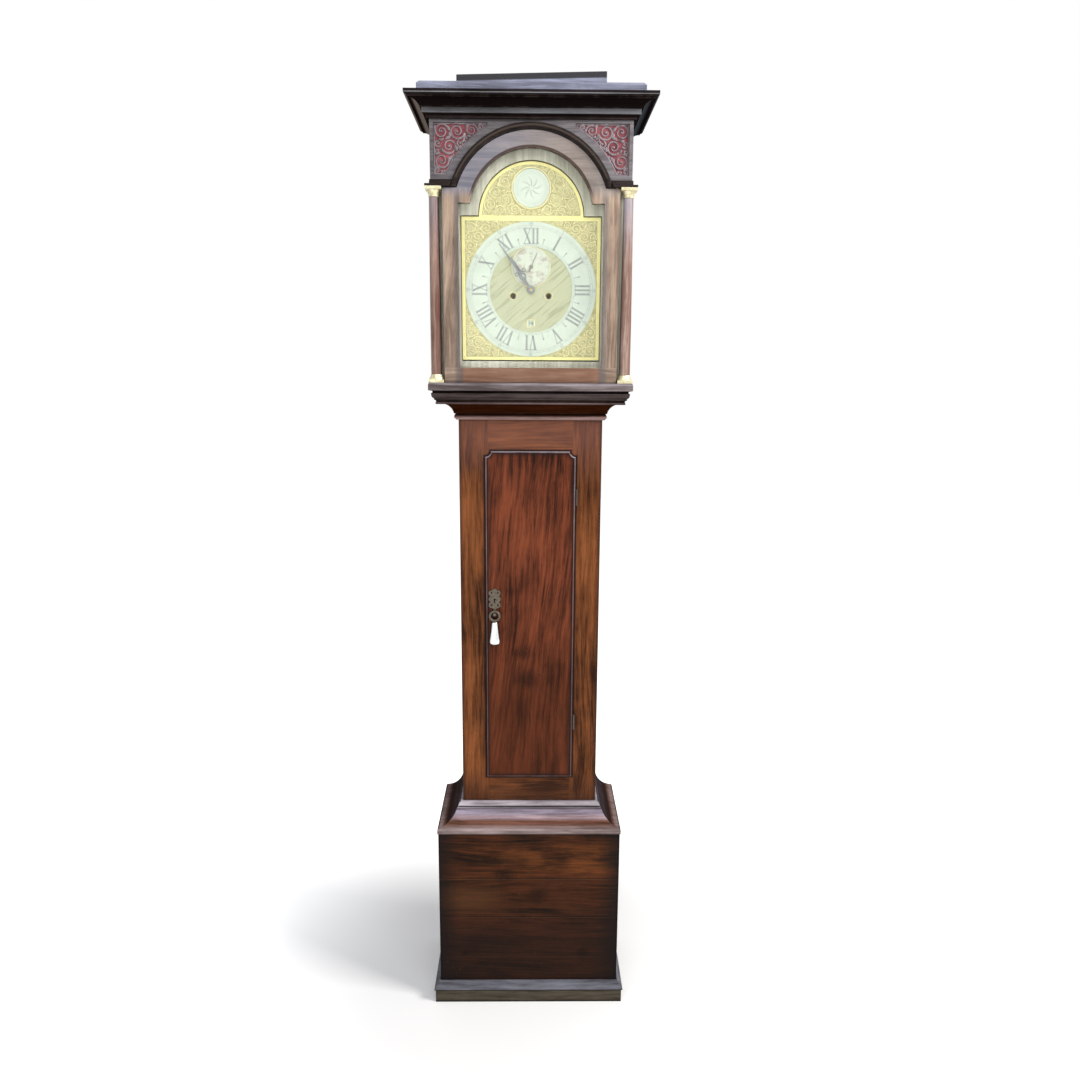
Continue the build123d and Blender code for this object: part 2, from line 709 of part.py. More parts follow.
HANDLE_X = HANDLE_FROM_DOOR_EDGE - DOOR_X
KEYHOLE_Z = HANDLE_HEIGHT + 28
PLATE_FACE = DOOR_FACE + BACKPLATE
RING_DEPTH = PLATE_FACE + RING_DEPTH_FROM_DOOR
RING_Z = HANDLE_HEIGHT - RING_RADIUS


def handle_backplate():
    """A pierced and lobed plate, with a tongue below it for the post that the ring hangs on."""
    z0 = HANDLE_HEIGHT + RING_BAR_RADIUS
    middle = z0 + BACKPLATE_HEIGHT / 2
    half = BACKPLATE_WIDTH / 2
    lobe = 7
    face = Pos(HANDLE_X, middle) * Ellipse(half * 0.72, BACKPLATE_HEIGHT / 2)
    for dz in (-0.28, 0, 0.28):
        for side in (-1, 1):
            face += Pos(HANDLE_X + side * (half - lobe), middle + dz * BACKPLATE_HEIGHT) * Circle(lobe)
    for dz in (-0.28, 0.3):
        for side in (-1, 1):
            face -= Pos(HANDLE_X + side * (half - lobe), middle + dz * BACKPLATE_HEIGHT) * Circle(2.2)
    face -= Pos(HANDLE_X, KEYHOLE_Z) * Circle(KEYHOLE_RADIUS)
    face -= Pos(HANDLE_X, KEYHOLE_Z - 4) * Rectangle(2.4, 8)
    post_z = HANDLE_HEIGHT - RING_BAR_RADIUS - RUNNING_GAP - POST_RADIUS
    face += Pos(HANDLE_X, post_z) * Circle(2 * POST_RADIUS)
    face += Pos(HANDLE_X, (post_z + z0 + 4) / 2) * Rectangle(3 * POST_RADIUS, z0 + 4 - post_z)
    plate = slab(face, DOOR_FACE, PLATE_FACE)
    head_start = RING_DEPTH + RING_BAR_RADIUS + 1
    stud = disc(HANDLE_X, post_z, POST_RADIUS, DOOR_FACE, head_start + 1)
    head = disc(HANDLE_X, post_z - 1.5, POST_RADIUS + 1.8, head_start, head_start + 2)
    return plate + stud + head


def drop_handle():
    """The ring on its post, with the tapered drop below it."""
    ring = Pos(HANDLE_X, y_at(RING_DEPTH), RING_Z) * Rot(90, 0, 0) * Torus(RING_RADIUS, RING_BAR_RADIUS)
    top = RING_Z - RING_RADIUS
    foot = top - DROP_LENGTH
    section = [
        (0, top),
        (2, top),
        (2, top - 4),
        (DROP_TOP_RADIUS, top - 6),
        (DROP_FOOT_RADIUS - 1, foot + 12),
        (DROP_FOOT_RADIUS, foot + 7),
        (DROP_FOOT_RADIUS - 2, foot + 1),
        (0, foot),
    ]
    drop = revolve(Plane.XZ * face_of(section), axis=Axis.Z)
    flat = scale(drop, by=(1, 0.44, 1))
    return ring + Pos(HANDLE_X, y_at(RING_DEPTH), 0) * flat


def door_lock():
    """A lock case on the back of the door, open at its edge for the bolt."""
    x0 = -(DOOR_X - DOOR_LIP - DOOR_GAP) + 1
    middle = KEYHOLE_Z
    d1 = FRAME_BACK
    d0 = d1 - LOCK_THICKNESS
    case = board(x0, x0 + LOCK_WIDTH, d0, d1, middle - LOCK_HEIGHT / 2, middle + LOCK_HEIGHT / 2)
    inner = board(
        x0 + LOCK_WALL,
        x0 + LOCK_WIDTH - LOCK_WALL,
        d0 + LOCK_WALL,
        d1 + 1,
        middle - LOCK_HEIGHT / 2 + LOCK_WALL,
        middle + LOCK_HEIGHT / 2 - LOCK_WALL,
    )
    low, high = lock_bolt_heights()
    start, end = lock_bolt_depths()
    slot = board(
        x0 - 1, x0 + 4, start - LOCK_CLEARANCE, end + LOCK_CLEARANCE, low - LOCK_CLEARANCE, high + LOCK_CLEARANCE
    )
    return case - inner - slot


def lock_bolt_heights():
    return KEYHOLE_Z - 24, KEYHOLE_Z - 24 + LOCK_BOLT_HEIGHT


def lock_bolt_depths():
    start = FRAME_BACK - LOCK_THICKNESS + LOCK_WALL + LOCK_CLEARANCE
    return start, start + LOCK_BOLT_THICKNESS


def lock_bolt():
    """The bolt, drawn back while the door is free to open."""
    x0 = -(DOOR_X - DOOR_LIP - DOOR_GAP) + 1
    low, high = lock_bolt_heights()
    start, end = lock_bolt_depths()
    return board(x0, x0 + LOCK_BOLT_LENGTH, start, end, low, high)


def seatboard():
    """The board across the cheeks, with slots for the lines."""
    plank = board(-TRUNK_X, TRUNK_X, SEATBOARD_BACK, TRUNK_DEPTH - SEATBOARD_FROM_FACE, CHEEK_TOP, SEAT_TOP)
    for side in (GOING, STRIKE):
        x = side[0] - LINE_RADIUS
        plank -= board(x - 4, x + 4, DRUM_START, DRUM_START + DRUM_LENGTH, CHEEK_TOP - 1, SEAT_TOP + 1)
        plank -= post(side[0] + LINE_RADIUS, LINE_DEPTH, CHEEK_TOP - 1, SEAT_TOP + 1, LINE_DIAMETER)
    return plank


# Hood


def hood_sides():
    """The hood's side boards, deeper above the columns than behind them."""
    fascia_back = HOOD_DEPTH - FASCIA_THICKNESS
    step = SHOULDER + FASCIA_ABOVE_SHOULDER
    top = CORNICE_TOP - TOP_BOARD
    outline = [(0, SILL_TOP), (MASK_FACE, SILL_TOP), (MASK_FACE, step), (fascia_back, step), (fascia_back, top), (0, top)]
    plane = Plane(origin=(HOOD_INNER_X, y_at(0), 0), x_dir=(0, -1, 0), z_dir=(-1, 0, 0))
    side = extrude(plane * face_of(outline), amount=-HOOD_BOARD)
    return side, mirrored(side)


def arch_face(half_width, foot, shoulder, radius):
    """A rectangle with a round arch on it, about the hood's arch centre."""
    face = Pos(0, (foot + shoulder) / 2) * Rectangle(2 * half_width, shoulder - foot)
    return face + Pos(0, ARCH_Z) * Circle(radius)


def fret_face(grow=0):
    """The spandrel beside the arch, on the right: straight above and outside, round below."""
    x1 = HOOD_X - FRET_OUTER + grow
    z1 = CORNICE_FOOT - FRET_TOP + grow
    z0 = SHOULDER + FRET_FOOT - grow
    box = Pos(x1 / 2, (z0 + z1) / 2) * Rectangle(x1, z1 - z0)
    tip = math.sqrt(FRET_RADIUS**2 - (z1 - ARCH_Z) ** 2)
    rest = box - Pos(0, ARCH_Z) * Circle(FRET_RADIUS - grow)
    return rest & (Pos((tip + 15 - grow + x1) / 2, (z0 + z1) / 2) * Rectangle(x1 - tip - 15 + grow, z1 - z0))


def hood_fascia():
    """The arched board above the door, with a window behind each fret."""
    d0 = HOOD_DEPTH - FASCIA_THICKNESS
    foot = SHOULDER + FASCIA_ABOVE_SHOULDER
    top = CORNICE_TOP - TOP_BOARD
    face = Pos(0, (foot + top) / 2) * Rectangle(2 * HOOD_X, top - foot)
    face -= Pos(0, ARCH_Z) * Circle(DOOR_ARCH_RADIUS + HOOD_DOOR_GAP)
    face -= fret_face()
    face -= mirror(fret_face(), about=Plane.YZ)
    return slab(face, d0, HOOD_DEPTH)


def spandrel_frets():
    """Pierced panels set into the windows, with rings of scrollwork cut through."""
    d1 = HOOD_DEPTH - FRET_INSET
    face = fret_face(-FRET_GAP)
    x = HOOD_X - FRET_OUTER - FRET_BORDER - FRET_HOLE
    z = CORNICE_FOOT - FRET_TOP - FRET_BORDER - FRET_HOLE
    step = 2 * FRET_HOLE + 3
    clear = FRET_RADIUS + FRET_HOLE + FRET_BORDER
    for row in range(6):
        for column in range(7):
            at = (x - column * step, z - row * step)
            low = at[1] - FRET_HOLE > SHOULDER + FRET_FOOT + FRET_BORDER
            if math.hypot(at[0], at[1] - ARCH_Z) > clear and low:
                face -= Pos(*at) * (Circle(FRET_HOLE) - Circle(FRET_HOLE - 3) - Rectangle(3, 2 * FRET_HOLE + 1))
    fret = slab(face, d1 - FRET_THICKNESS, d1)
    return fret, mirrored(fret)


def silk_panels():
    """The silk behind each fret."""
    d1 = HOOD_DEPTH - FRET_INSET - FRET_THICKNESS
    silk = slab(fret_face(-FRET_GAP), d1 - SILK_THICKNESS, d1)
    return silk, mirrored(silk)


def arch_moulding():
    """The moulding round the arch, with a level length to each side that returns over the column."""
    d0, d1 = HOOD_DEPTH, HOOD_DEPTH + ARCH_MOULDING_PROUD
    low = HOOD_DEPTH + 0.5 * ARCH_MOULDING_PROUD
    foot = SHOULDER + FASCIA_ABOVE_SHOULDER
    inner = DOOR_ARCH_RADIUS + HOOD_DOOR_GAP
    outer = inner + ARCH_MOULDING_WIDTH
    above = Pos(0, foot + outer / 2) * Rectangle(2 * outer, outer)
    ring = slab((Pos(0, ARCH_Z) * (Circle(outer) - Circle(inner))) & above, d0, low)
    ring += slab((Pos(0, ARCH_Z) * (Circle(outer - 3) - Circle(inner + 3))) & above, low, d1)
    end = HOOD_X + 2
    level = board(0, end, d0, low, foot, foot + FRIEZE_MOULDING_HEIGHT)
    level += board(0, end, low, d1, foot, foot + FRIEZE_MOULDING_HEIGHT - 4)
    level += board(0, HOOD_X + FRIEZE_RETURN, d1, d1 + 2, foot, foot + FRIEZE_FILLET)
    level += board(end - 2, HOOD_X + FRIEZE_RETURN, HOOD_DEPTH - FRIEZE_RETURN_LENGTH, d1, foot, foot + FRIEZE_FILLET)
    level -= disc(0, ARCH_Z, outer + JOINT_GAP, d0 - 1, d1 + 3)
    return ring, level, mirrored(level)


def dial_outline(grow=0):
    """The dial's own outline: a square with a round arch that is narrower than it."""
    half = DIAL_WIDTH / 2 + grow
    foot = DIAL_TOP - DIAL_WIDTH - grow
    face = Pos(0, (foot + DIAL_TOP) / 2) * Rectangle(2 * half, DIAL_TOP - foot + 2 * grow)
    return face + Pos(0, DIAL_TOP) * Circle(DIAL_ARCH_RADIUS + grow)


def dial_mask():
    """The thin frame inside the hood that meets the edge of the dial."""
    foot = SILL_TOP
    top = CORNICE_TOP - TOP_BOARD
    face = Pos(0, (foot + top) / 2) * Rectangle(2 * HOOD_INNER_X, top - foot)
    return slab(face - dial_outline(MASK_CLEARANCE), MASK_BACK, MASK_FACE)


def hood_top():
    """Top board, the blocking course on the cornice, and the cap board, which isn't quite level."""
    top = board(-HOOD_X, HOOD_X, 0, HOOD_DEPTH, CORNICE_TOP - TOP_BOARD, CORNICE_TOP)
    reach = HOOD_X + BLOCKING_OVERHANG
    course = board(-reach, reach, 0, HOOD_DEPTH + BLOCKING_OVERHANG, CORNICE_TOP, BLOCKING_TOP)
    rim = course.faces().sort_by(Axis.Z)[-1].edges().filter_by_position(Axis.Y, -999, BACK_Y - 1)
    course = chamfer(rim, 5)
    half = CAP_WIDTH / 2
    cap = slab(
        face_of(
            [
                (-half, BLOCKING_TOP),
                (half, BLOCKING_TOP),
                (half, BLOCKING_TOP + CAP_RIGHT_THICKNESS),
                (-half, BLOCKING_TOP + CAP_LEFT_THICKNESS),
            ]
        ),
        CAP_BACK,
        CAP_FRONT,
    )
    return top, course, cap


def turned(section, x, depth):
    """A turned piece from its half section, stood at a place in plan."""
    return Pos(x, y_at(depth), 0) * revolve(Plane.XZ * face_of(section), axis=Axis.Z)


COLUMN_FOOT = SILL_TOP + COLUMN_BASE_HEIGHT
COLUMN_TOP = SHOULDER + FASCIA_ABOVE_SHOULDER - CAPITAL_HEIGHT


def hood_columns():
    """Two plain round shafts that taper above the lower third."""
    third = COLUMN_FOOT + (COLUMN_TOP - COLUMN_FOOT) / 3
    section = [
        (0, COLUMN_FOOT),
        (COLUMN_RADIUS, COLUMN_FOOT),
        (COLUMN_RADIUS, third),
        (COLUMN_NECK_RADIUS, COLUMN_TOP),
        (0, COLUMN_TOP),
    ]
    column = turned(section, COLUMN_CENTRE_X, COLUMN_CENTRE_DEPTH)
    return column, mirrored(column)


def column_mounts():
    """Brass bases and capitals, each a square block with a turned part."""
    x, depth = COLUMN_CENTRE_X, COLUMN_CENTRE_DEPTH
    low = COLUMN_BASE_WIDTH / 2
    foot = SILL_TOP
    block = board(x - low, x + low, depth - low, depth + low, foot, foot + 7)
    base = block + turned(
        [(0, foot + 7), (low - 1, foot + 7), (low - 1, foot + 11), (low - 3, foot + 13), (COLUMN_RADIUS + 1, COLUMN_FOOT), (0, COLUMN_FOOT)],
        x,
        depth,
    )
    high = CAPITAL_WIDTH / 2
    top = COLUMN_TOP + CAPITAL_HEIGHT
    abacus = board(x - high, x + high, depth - high, depth + high, top - 6, top)
    capital = abacus + turned(
        [(0, COLUMN_TOP), (COLUMN_NECK_RADIUS + 1, COLUMN_TOP), (COLUMN_NECK_RADIUS + 1, COLUMN_TOP + 6), (high - 2, top - 6), (0, top - 6)],
        x,
        depth,
    )
    return base, mirrored(base), capital, mirrored(capital)


def hood_door_outline():
    half = HOOD_DOOR_WIDTH / 2
    return arch_face(half, HOOD_DOOR_FOOT, SHOULDER, DOOR_ARCH_RADIUS) & (
        Pos(0, (HOOD_DOOR_FOOT + SHOULDER) / 2 + 500) * Rectangle(2 * half, SHOULDER - HOOD_DOOR_FOOT + 1000)
    )


def hood_door_opening(grow=0):
    half = HOOD_DOOR_WIDTH / 2 - HOOD_DOOR_STILE + grow
    foot = HOOD_DOOR_FOOT + HOOD_DOOR_BOTTOM_RAIL - grow
    return arch_face(half, foot, SHOULDER - OPENING_SHOULDER_BELOW + grow, DOOR_OPENING_RADIUS + grow)


def hood_door_frame():
    """Two stiles, a bottom rail and the arched head, rebated for the glass."""
    frame = slab(hood_door_outline() - hood_door_opening(), HOOD_DOOR_BACK, HOOD_DOOR_FACE)
    frame -= slab(hood_door_opening(GLASS_REBATE), HOOD_DOOR_BACK - 1, HOOD_DOOR_BACK + GLASS_REBATE_DEPTH)
    x = HOOD_DOOR_WIDTH / 2 - HOOD_DOOR_STILE
    reach = HOOD_DOOR_WIDTH
    d0, d1 = HOOD_DOOR_BACK - 5, HOOD_DOOR_FACE + 5
    right = frame & board(x, reach, d0, d1, 0, SHOULDER)
    left = frame & board(-reach, -x, d0, d1, 0, SHOULDER)
    gap = JOINT_GAP
    rail = frame & board(gap - x, x - gap, d0, d1, 0, SILL_TOP + HOOD_DOOR_WIDTH / 2)
    head = frame - board(-reach, reach, d0, d1, 0, SILL_TOP + HOOD_DOOR_WIDTH / 2)
    head = head - board(x - gap, reach, d0, d1, 0, SHOULDER + gap) - board(-reach, gap - x, d0, d1, 0, SHOULDER + gap)
    sockets = hood_door_pivots(PIVOT_LENGTH - 0.9, PIVOT_RADIUS + 0.05)
    return left, right - sockets[0] - sockets[1], rail, head


def hood_door_glass():
    """The arched glass in its rebate."""
    front = HOOD_DOOR_BACK + GLASS_REBATE_DEPTH
    return slab(hood_door_opening(GLASS_REBATE - 0.5), front - GLASS_THICKNESS, front)


def pivot_place():
    return HOOD_DOOR_WIDTH / 2 - PIVOT_FROM_EDGE, HOOD_DOOR_FACE - PIVOT_FROM_FACE


def hood_door_pivots(inside=PIVOT_LENGTH - 1, radius=PIVOT_RADIUS):
    """The pins on which the hood door turns, let into its right stile."""
    x, depth = pivot_place()
    lower = post(x, depth, SILL_TOP - PIVOT_LENGTH, HOOD_DOOR_FOOT + inside, radius)
    upper = post(x, depth, SHOULDER - inside, SHOULDER + FASCIA_ABOVE_SHOULDER + PIVOT_LENGTH, radius)
    return lower, upper


def pivot_holes():
    """Holes in the sill and the fascia for the door's pins."""
    x, depth = pivot_place()
    radius = PIVOT_RADIUS + PIN_CLEARANCE
    end = 0.5
    return (
        post(x, depth, SILL_TOP - PIVOT_LENGTH - end, SILL_TOP + 1, radius),
        post(x, depth, SHOULDER, SHOULDER + FASCIA_ABOVE_SHOULDER + PIVOT_LENGTH + end, radius),
    )


# Dial


def dial_plate():
    """The brass plate with its holes, its four feet and the studs that hold the date ring."""
    face = dial_outline()
    for x in (-WINDING_X, WINDING_X):
        face -= Pos(x, BARREL_Z) * Circle(WINDING_HOLE_RADIUS)
    face -= Pos(*CENTRE) * Circle(HOUR_PIPE_RADIUS + 1.5)
    face -= Pos(*ESCAPE) * Circle(ARBOR_RADIUS + 0.8)
    face -= Pos(0, CENTRE_Z - DATE_RADIUS) * Rectangle(DATE_WINDOW, DATE_WINDOW)
    plate = slab(face, DIAL_BACK_DEPTH, DIAL_FACE_DEPTH)
    for x, z in plate_corners(DIAL_FOOT_FROM_EDGE):
        plate += disc(x, z, DIAL_FOOT_RADIUS, FRONT_PLATE_FACE, DIAL_BACK_DEPTH)
    ring_back = DIAL_BACK_DEPTH - DATE_RING_THICKNESS - 2 * RUNNING_GAP
    for degrees in (0, 90, 180, 270):
        at = polar(CENTRE, DATE_RING_OUTER + RUNNING_GAP + 2, degrees)
        plate += disc(*at, 2, ring_back, DIAL_BACK_DEPTH)
        plate += disc(*at, 5, ring_back - 1.2, ring_back)
    return plate


def plate_corners(from_edge):
    """Four places near the corners of the movement plates."""
    x = PLATE_WIDTH / 2 - from_edge
    heights = (SEAT_TOP + PILLAR_FROM_END, SEAT_TOP + PLATE_HEIGHT - PILLAR_FROM_END)
    return [(side * x, z) for side in (-1, 1) for z in heights]


def silvered_rings():
    """Chapter ring, seconds ring and the plain boss in the arch."""
    d0, d1 = DIAL_FACE_DEPTH, DIAL_FACE_DEPTH + RING_THICKNESS
    chapter = slab(Pos(*CENTRE) * (Circle(CHAPTER_RING_OUTER) - Circle(CHAPTER_RING_INNER)), d0, d1)
    seconds = slab(Pos(*ESCAPE) * (Circle(SECONDS_RING_OUTER) - Circle(SECONDS_RING_INNER)), d0, d1)
    boss = disc(0, DIAL_TOP + BOSS_ABOVE_ARCH_CENTRE, BOSS_RADIUS, d0, d0 + BOSS_THICKNESS)
    boss = fillet(boss.faces().sort_by(Axis.Y)[0].edges(), 1.5)
    return chapter, seconds, boss


def spandrel_castings():
    """Castings in the four corners and in the two ends of the arch."""
    d0, d1 = DIAL_FACE_DEPTH, DIAL_FACE_DEPTH + SPANDREL_THICKNESS
    half = DIAL_WIDTH / 2 - SPANDREL_EDGE
    inner = CHAPTER_RING_OUTER + 3
    size = 78
    solids = []
    for side in (-1, 1):
        for z in (DIAL_TOP - DIAL_WIDTH / 2 - half, DIAL_TOP - DIAL_WIDTH / 2 + half):
            towards_middle = 1 if z < CENTRE_Z else -1
            corner = Pos(side * (half - size / 2), z + towards_middle * size / 2) * Rectangle(size, size)
            solids.append(slab(corner - Pos(*CENTRE) * Circle(inner), d0, d1))
        arch = Pos(0, DIAL_TOP) * Circle(DIAL_ARCH_RADIUS - SPANDREL_EDGE)
        arch -= Pos(0, DIAL_TOP + BOSS_ABOVE_ARCH_CENTRE) * Circle(BOSS_RADIUS + 5)
        arch -= Pos(*CENTRE) * Circle(CHAPTER_RING_OUTER + 10)
        wide, high = ARCH_CASTING
        arch = arch & (Pos(side * (wide / 2 + SPANDREL_EDGE), DIAL_TOP + high / 2 + 2) * Rectangle(wide, high))
        solids.append(slab(arch, d0, d1))
    return solids


def date_ring():
    """The toothed ring behind the dial that carries the days of the month."""
    d1 = DIAL_BACK_DEPTH - RUNNING_GAP
    points = []
    pitch = 360 / DATE_TEETH
    for tooth in range(DATE_TEETH):
        middle = tooth * pitch
        for radius, share in ((DATE_RING_INNER + DATE_TOOTH, -0.3), (DATE_RING_INNER, -0.15), (DATE_RING_INNER, 0.15), (DATE_RING_INNER + DATE_TOOTH, 0.3)):
            points.append(polar(CENTRE, radius, middle + share * pitch))
    face = Pos(*CENTRE) * Circle(DATE_RING_OUTER) - face_of(points)
    return slab(face, d1 - DATE_RING_THICKNESS, d1)


def hand(centre, length, degrees, tail, collet, d0):
    """A tapered hand on its collet, turned clockwise from twelve."""
    w = HAND_HALF_WIDTH
    face = face_of([(-w, -tail), (w, -tail), (1.3 * w, length * 0.7), (0.4, length), (-0.4, length), (-1.3 * w, length * 0.7)])
    face = face + Circle(collet)
    placed = Pos(*centre) * Rot(0, 0, -degrees) * face
    return slab(placed, d0, d0 + HAND_THICKNESS)


SECONDS_HAND_DEPTH = DIAL_FACE_DEPTH + RING_THICKNESS + 0.8
HOUR_HAND_DEPTH = SECONDS_HAND_DEPTH + HAND_THICKNESS + 1.4
MINUTE_HAND_DEPTH = HOUR_HAND_DEPTH + HAND_THICKNESS + 2.4
HOUR_DEGREES = HOUR_AT_REST * 30
MINUTE_DEGREES = (HOUR_AT_REST % 1) * 360
SECOND_DEGREES = SECOND_AT_REST * 6


def minute_hand():
    body = hand(CENTRE, MINUTE_HAND_LENGTH, MINUTE_DEGREES, 0, CANNON_RADIUS + 3, MINUTE_HAND_DEPTH)
    return body - disc(*CENTRE, CENTRE_ARBOR_RADIUS + 0.02, MINUTE_HAND_DEPTH - 1, MINUTE_HAND_DEPTH + 5)


def hour_hand():
    body = hand(CENTRE, HOUR_HAND_LENGTH, HOUR_DEGREES, 0, HOUR_PIPE_RADIUS + 3, HOUR_HAND_DEPTH)
    return body - disc(*CENTRE, CANNON_RADIUS + 0.3, HOUR_HAND_DEPTH - 1, HOUR_HAND_DEPTH + 5)


def seconds_hand():
    body = hand(ESCAPE, SECONDS_HAND_LENGTH, SECOND_DEGREES, 12, 3.5, SECONDS_HAND_DEPTH)
    return body - disc(*ESCAPE, ARBOR_RADIUS + 0.02, SECONDS_HAND_DEPTH - 1, SECONDS_HAND_DEPTH + 5)


# Movement


def plate_holes():
    """Pivot and arbor holes as place, radius in the back plate and radius in the front plate."""
    fine = PIVOT_RADIUS_FINE + PIVOT_BORE_GAP
    winding = WINDING_ARBOR_RADIUS + PIVOT_BORE_GAP
    return [
        (CENTRE, fine, CENTRE_ARBOR_RADIUS + PIVOT_BORE_GAP),
        (THIRD, fine, fine),
        (ESCAPE, fine, ARBOR_RADIUS + PIVOT_BORE_GAP),
        (PALLETS, 6, fine),
        (GOING, 2 + PIVOT_BORE_GAP, winding),
        (STRIKE, 2 + PIVOT_BORE_GAP, winding),
        (PIN, fine, fine),
        (LOCKING, fine, fine),
        (FLY, fine, fine),
        (HAMMER, fine, fine),
    ]


def movement_plates():
    """The front plate, and the back plate with its riveted pillars."""
    outline = Pos(0, SEAT_TOP + PLATE_HEIGHT / 2) * Rectangle(PLATE_WIDTH, PLATE_HEIGHT)
    back_face, front_face = outline, outline
    for place, back_radius, front_radius in plate_holes():
        back_face = back_face - Pos(*place) * Circle(back_radius)
        front_face = front_face - Pos(*place) * Circle(front_radius)
    back = slab(back_face, BACK_PLATE_DEPTH, INSIDE_BACK)
    for x, z in plate_corners(PILLAR_FROM_EDGE):
        back += disc(x, z, PILLAR_RADIUS, INSIDE_BACK, FRONT_PLATE_DEPTH)
    front = slab(front_face, FRONT_PLATE_DEPTH, FRONT_PLATE_FACE)
    front += disc(*MINUTE, MINUTE_STUD_RADIUS, FRONT_PLATE_FACE, HOUR_WHEEL_START + LEAF_LENGTH)
    return back, front


def great_wheel(teeth, module, centre, partner):
    """A great wheel that turns freely on the winding arbor."""
    bore = WINDING_ARBOR_RADIUS + PIVOT_BORE_GAP
    return wheel(teeth, module, centre, partner, GREAT_START, hub=11, arm=6, rim=6, bore=bore)


def barrel(centre):
    """A drum with two flanges and a ratchet on its winding arbor."""
    end = DRUM_START + DRUM_LENGTH
    drum = disc(*centre, DRUM_RADIUS, DRUM_START, end)
    drum += disc(*centre, DRUM_RADIUS + DRUM_FLANGE, DRUM_START, DRUM_START + 2)
    drum += disc(*centre, DRUM_RADIUS + DRUM_FLANGE, end - 2, end)
    ratchet = toothed(24, 1.4, centre, 0)
    drum += slab(ratchet, GREAT_START + WHEEL_THICKNESS + 0.5, DRUM_START)
    drum += disc(*centre, WINDING_ARBOR_RADIUS, INSIDE_BACK + 0.3, FRONT_PLATE_FACE + 2)
    drum += disc(*centre, 2, BACK_PLATE_DEPTH, INSIDE_BACK + 1)
    square = Pos(*centre) * Rectangle(WINDING_SQUARE, WINDING_SQUARE)
    return drum + slab(square, FRONT_PLATE_FACE, DIAL_BACK_DEPTH - 2)


def centre_wheel():
    """The centre arbor, which carries the minute hand, with its pinion, wheel and cannon wheel."""
    front = MINUTE_HAND_DEPTH + HAND_THICKNESS + 1.6
    solid = disc(*CENTRE, CENTRE_ARBOR_RADIUS, INSIDE_BACK + 0.3, front)
    solid += disc(*CENTRE, PIVOT_RADIUS_FINE, BACK_PLATE_DEPTH, INSIDE_BACK + 1)
    solid += pinion(CENTRE_LEAVES, GREAT_MODULE, CENTRE, GOING, GREAT_START - 1.5)
    solid += wheel(CENTRE_TEETH, CENTRE_MODULE, CENTRE, THIRD, CENTRE_WHEEL_START)
    cannon = wheel(CANNON_TEETH, CANNON_MODULE, CENTRE, MINUTE, MOTION_START, rim=3)
    cannon += disc(*CENTRE, CANNON_RADIUS, MOTION_START - 1, MINUTE_HAND_DEPTH)
    cannon -= disc(*CENTRE, CENTRE_ARBOR_RADIUS + 0.02, MOTION_START - 3, front)
    return solid, cannon


def minute_wheel():
    """The minute wheel with the pinion that drives the hour wheel, on a stud of the front plate."""
    towards_centre = towards(MINUTE, CENTRE)
    half_pitch = 180 / MINUTE_TEETH
    face = toothed(MINUTE_TEETH, CANNON_MODULE, MINUTE, towards_centre + half_pitch)
    face -= crossings(MINUTE, 5, pitch_radius(MINUTE_TEETH, CANNON_MODULE) - 3, 3)
    solid = slab(face, MOTION_START, MOTION_START + WHEEL_THICKNESS)
    hub_start = MOTION_START + WHEEL_THICKNESS
    solid += disc(*MINUTE, 2.7, hub_start, HOUR_WHEEL_START - 1)
    solid += pinion(MINUTE_LEAVES, HOUR_MODULE, MINUTE, CENTRE, HOUR_WHEEL_START - 1.5)
    return solid - disc(*MINUTE, MINUTE_STUD_RADIUS + PIVOT_BORE_GAP, MOTION_START - 1, DIAL_BACK_DEPTH)


def hour_wheel():
    """The hour wheel and its pipe round the cannon."""
    bore = CANNON_RADIUS + PIVOT_BORE_GAP
    solid = wheel(HOUR_TEETH, HOUR_MODULE, CENTRE, MINUTE, HOUR_WHEEL_START, hub=8)
    solid += disc(*CENTRE, HOUR_PIPE_RADIUS, HOUR_WHEEL_START, HOUR_HAND_DEPTH)
    return solid - disc(*CENTRE, bore, HOUR_WHEEL_START - 1, HOUR_HAND_DEPTH + 1)


def third_wheel():
    """The third arbor: pinion in front, wheel behind."""
    solid = arbor(THIRD, INSIDE_BACK, INSIDE_FRONT)
    solid += pinion(THIRD_LEAVES, CENTRE_MODULE, THIRD, CENTRE, CENTRE_WHEEL_START - 1.5)
    return solid + wheel(THIRD_TEETH, THIRD_MODULE, THIRD, ESCAPE, THIRD_WHEEL_START, hub=4, arm=2.5, rim=3)


def escape_wheel():
    """Thirty raked teeth on the arbor that carries the seconds hand."""
    points = []
    pitch = 360 / ESCAPE_TEETH
    for tooth in range(ESCAPE_TEETH):
        at = tooth * pitch
        for radius, share in ESCAPE_TOOTH:
            points.append(polar(ESCAPE, radius, at + share * pitch))
    face = face_of(points) - crossings(ESCAPE, 4, ESCAPE_RADIUS - 6, 2.5)
    solid = slab(face, ESCAPE_START, ESCAPE_START + 1.6)
    end = SECONDS_HAND_DEPTH + HAND_THICKNESS
    solid += disc(*ESCAPE, ARBOR_RADIUS, INSIDE_BACK + 0.3, end)
    solid += disc(*ESCAPE, PIVOT_RADIUS_FINE, BACK_PLATE_DEPTH, INSIDE_BACK + 1)
    return solid + pinion(ESCAPE_LEAVES, THIRD_MODULE, ESCAPE, THIRD, THIRD_WHEEL_START - 1.5)


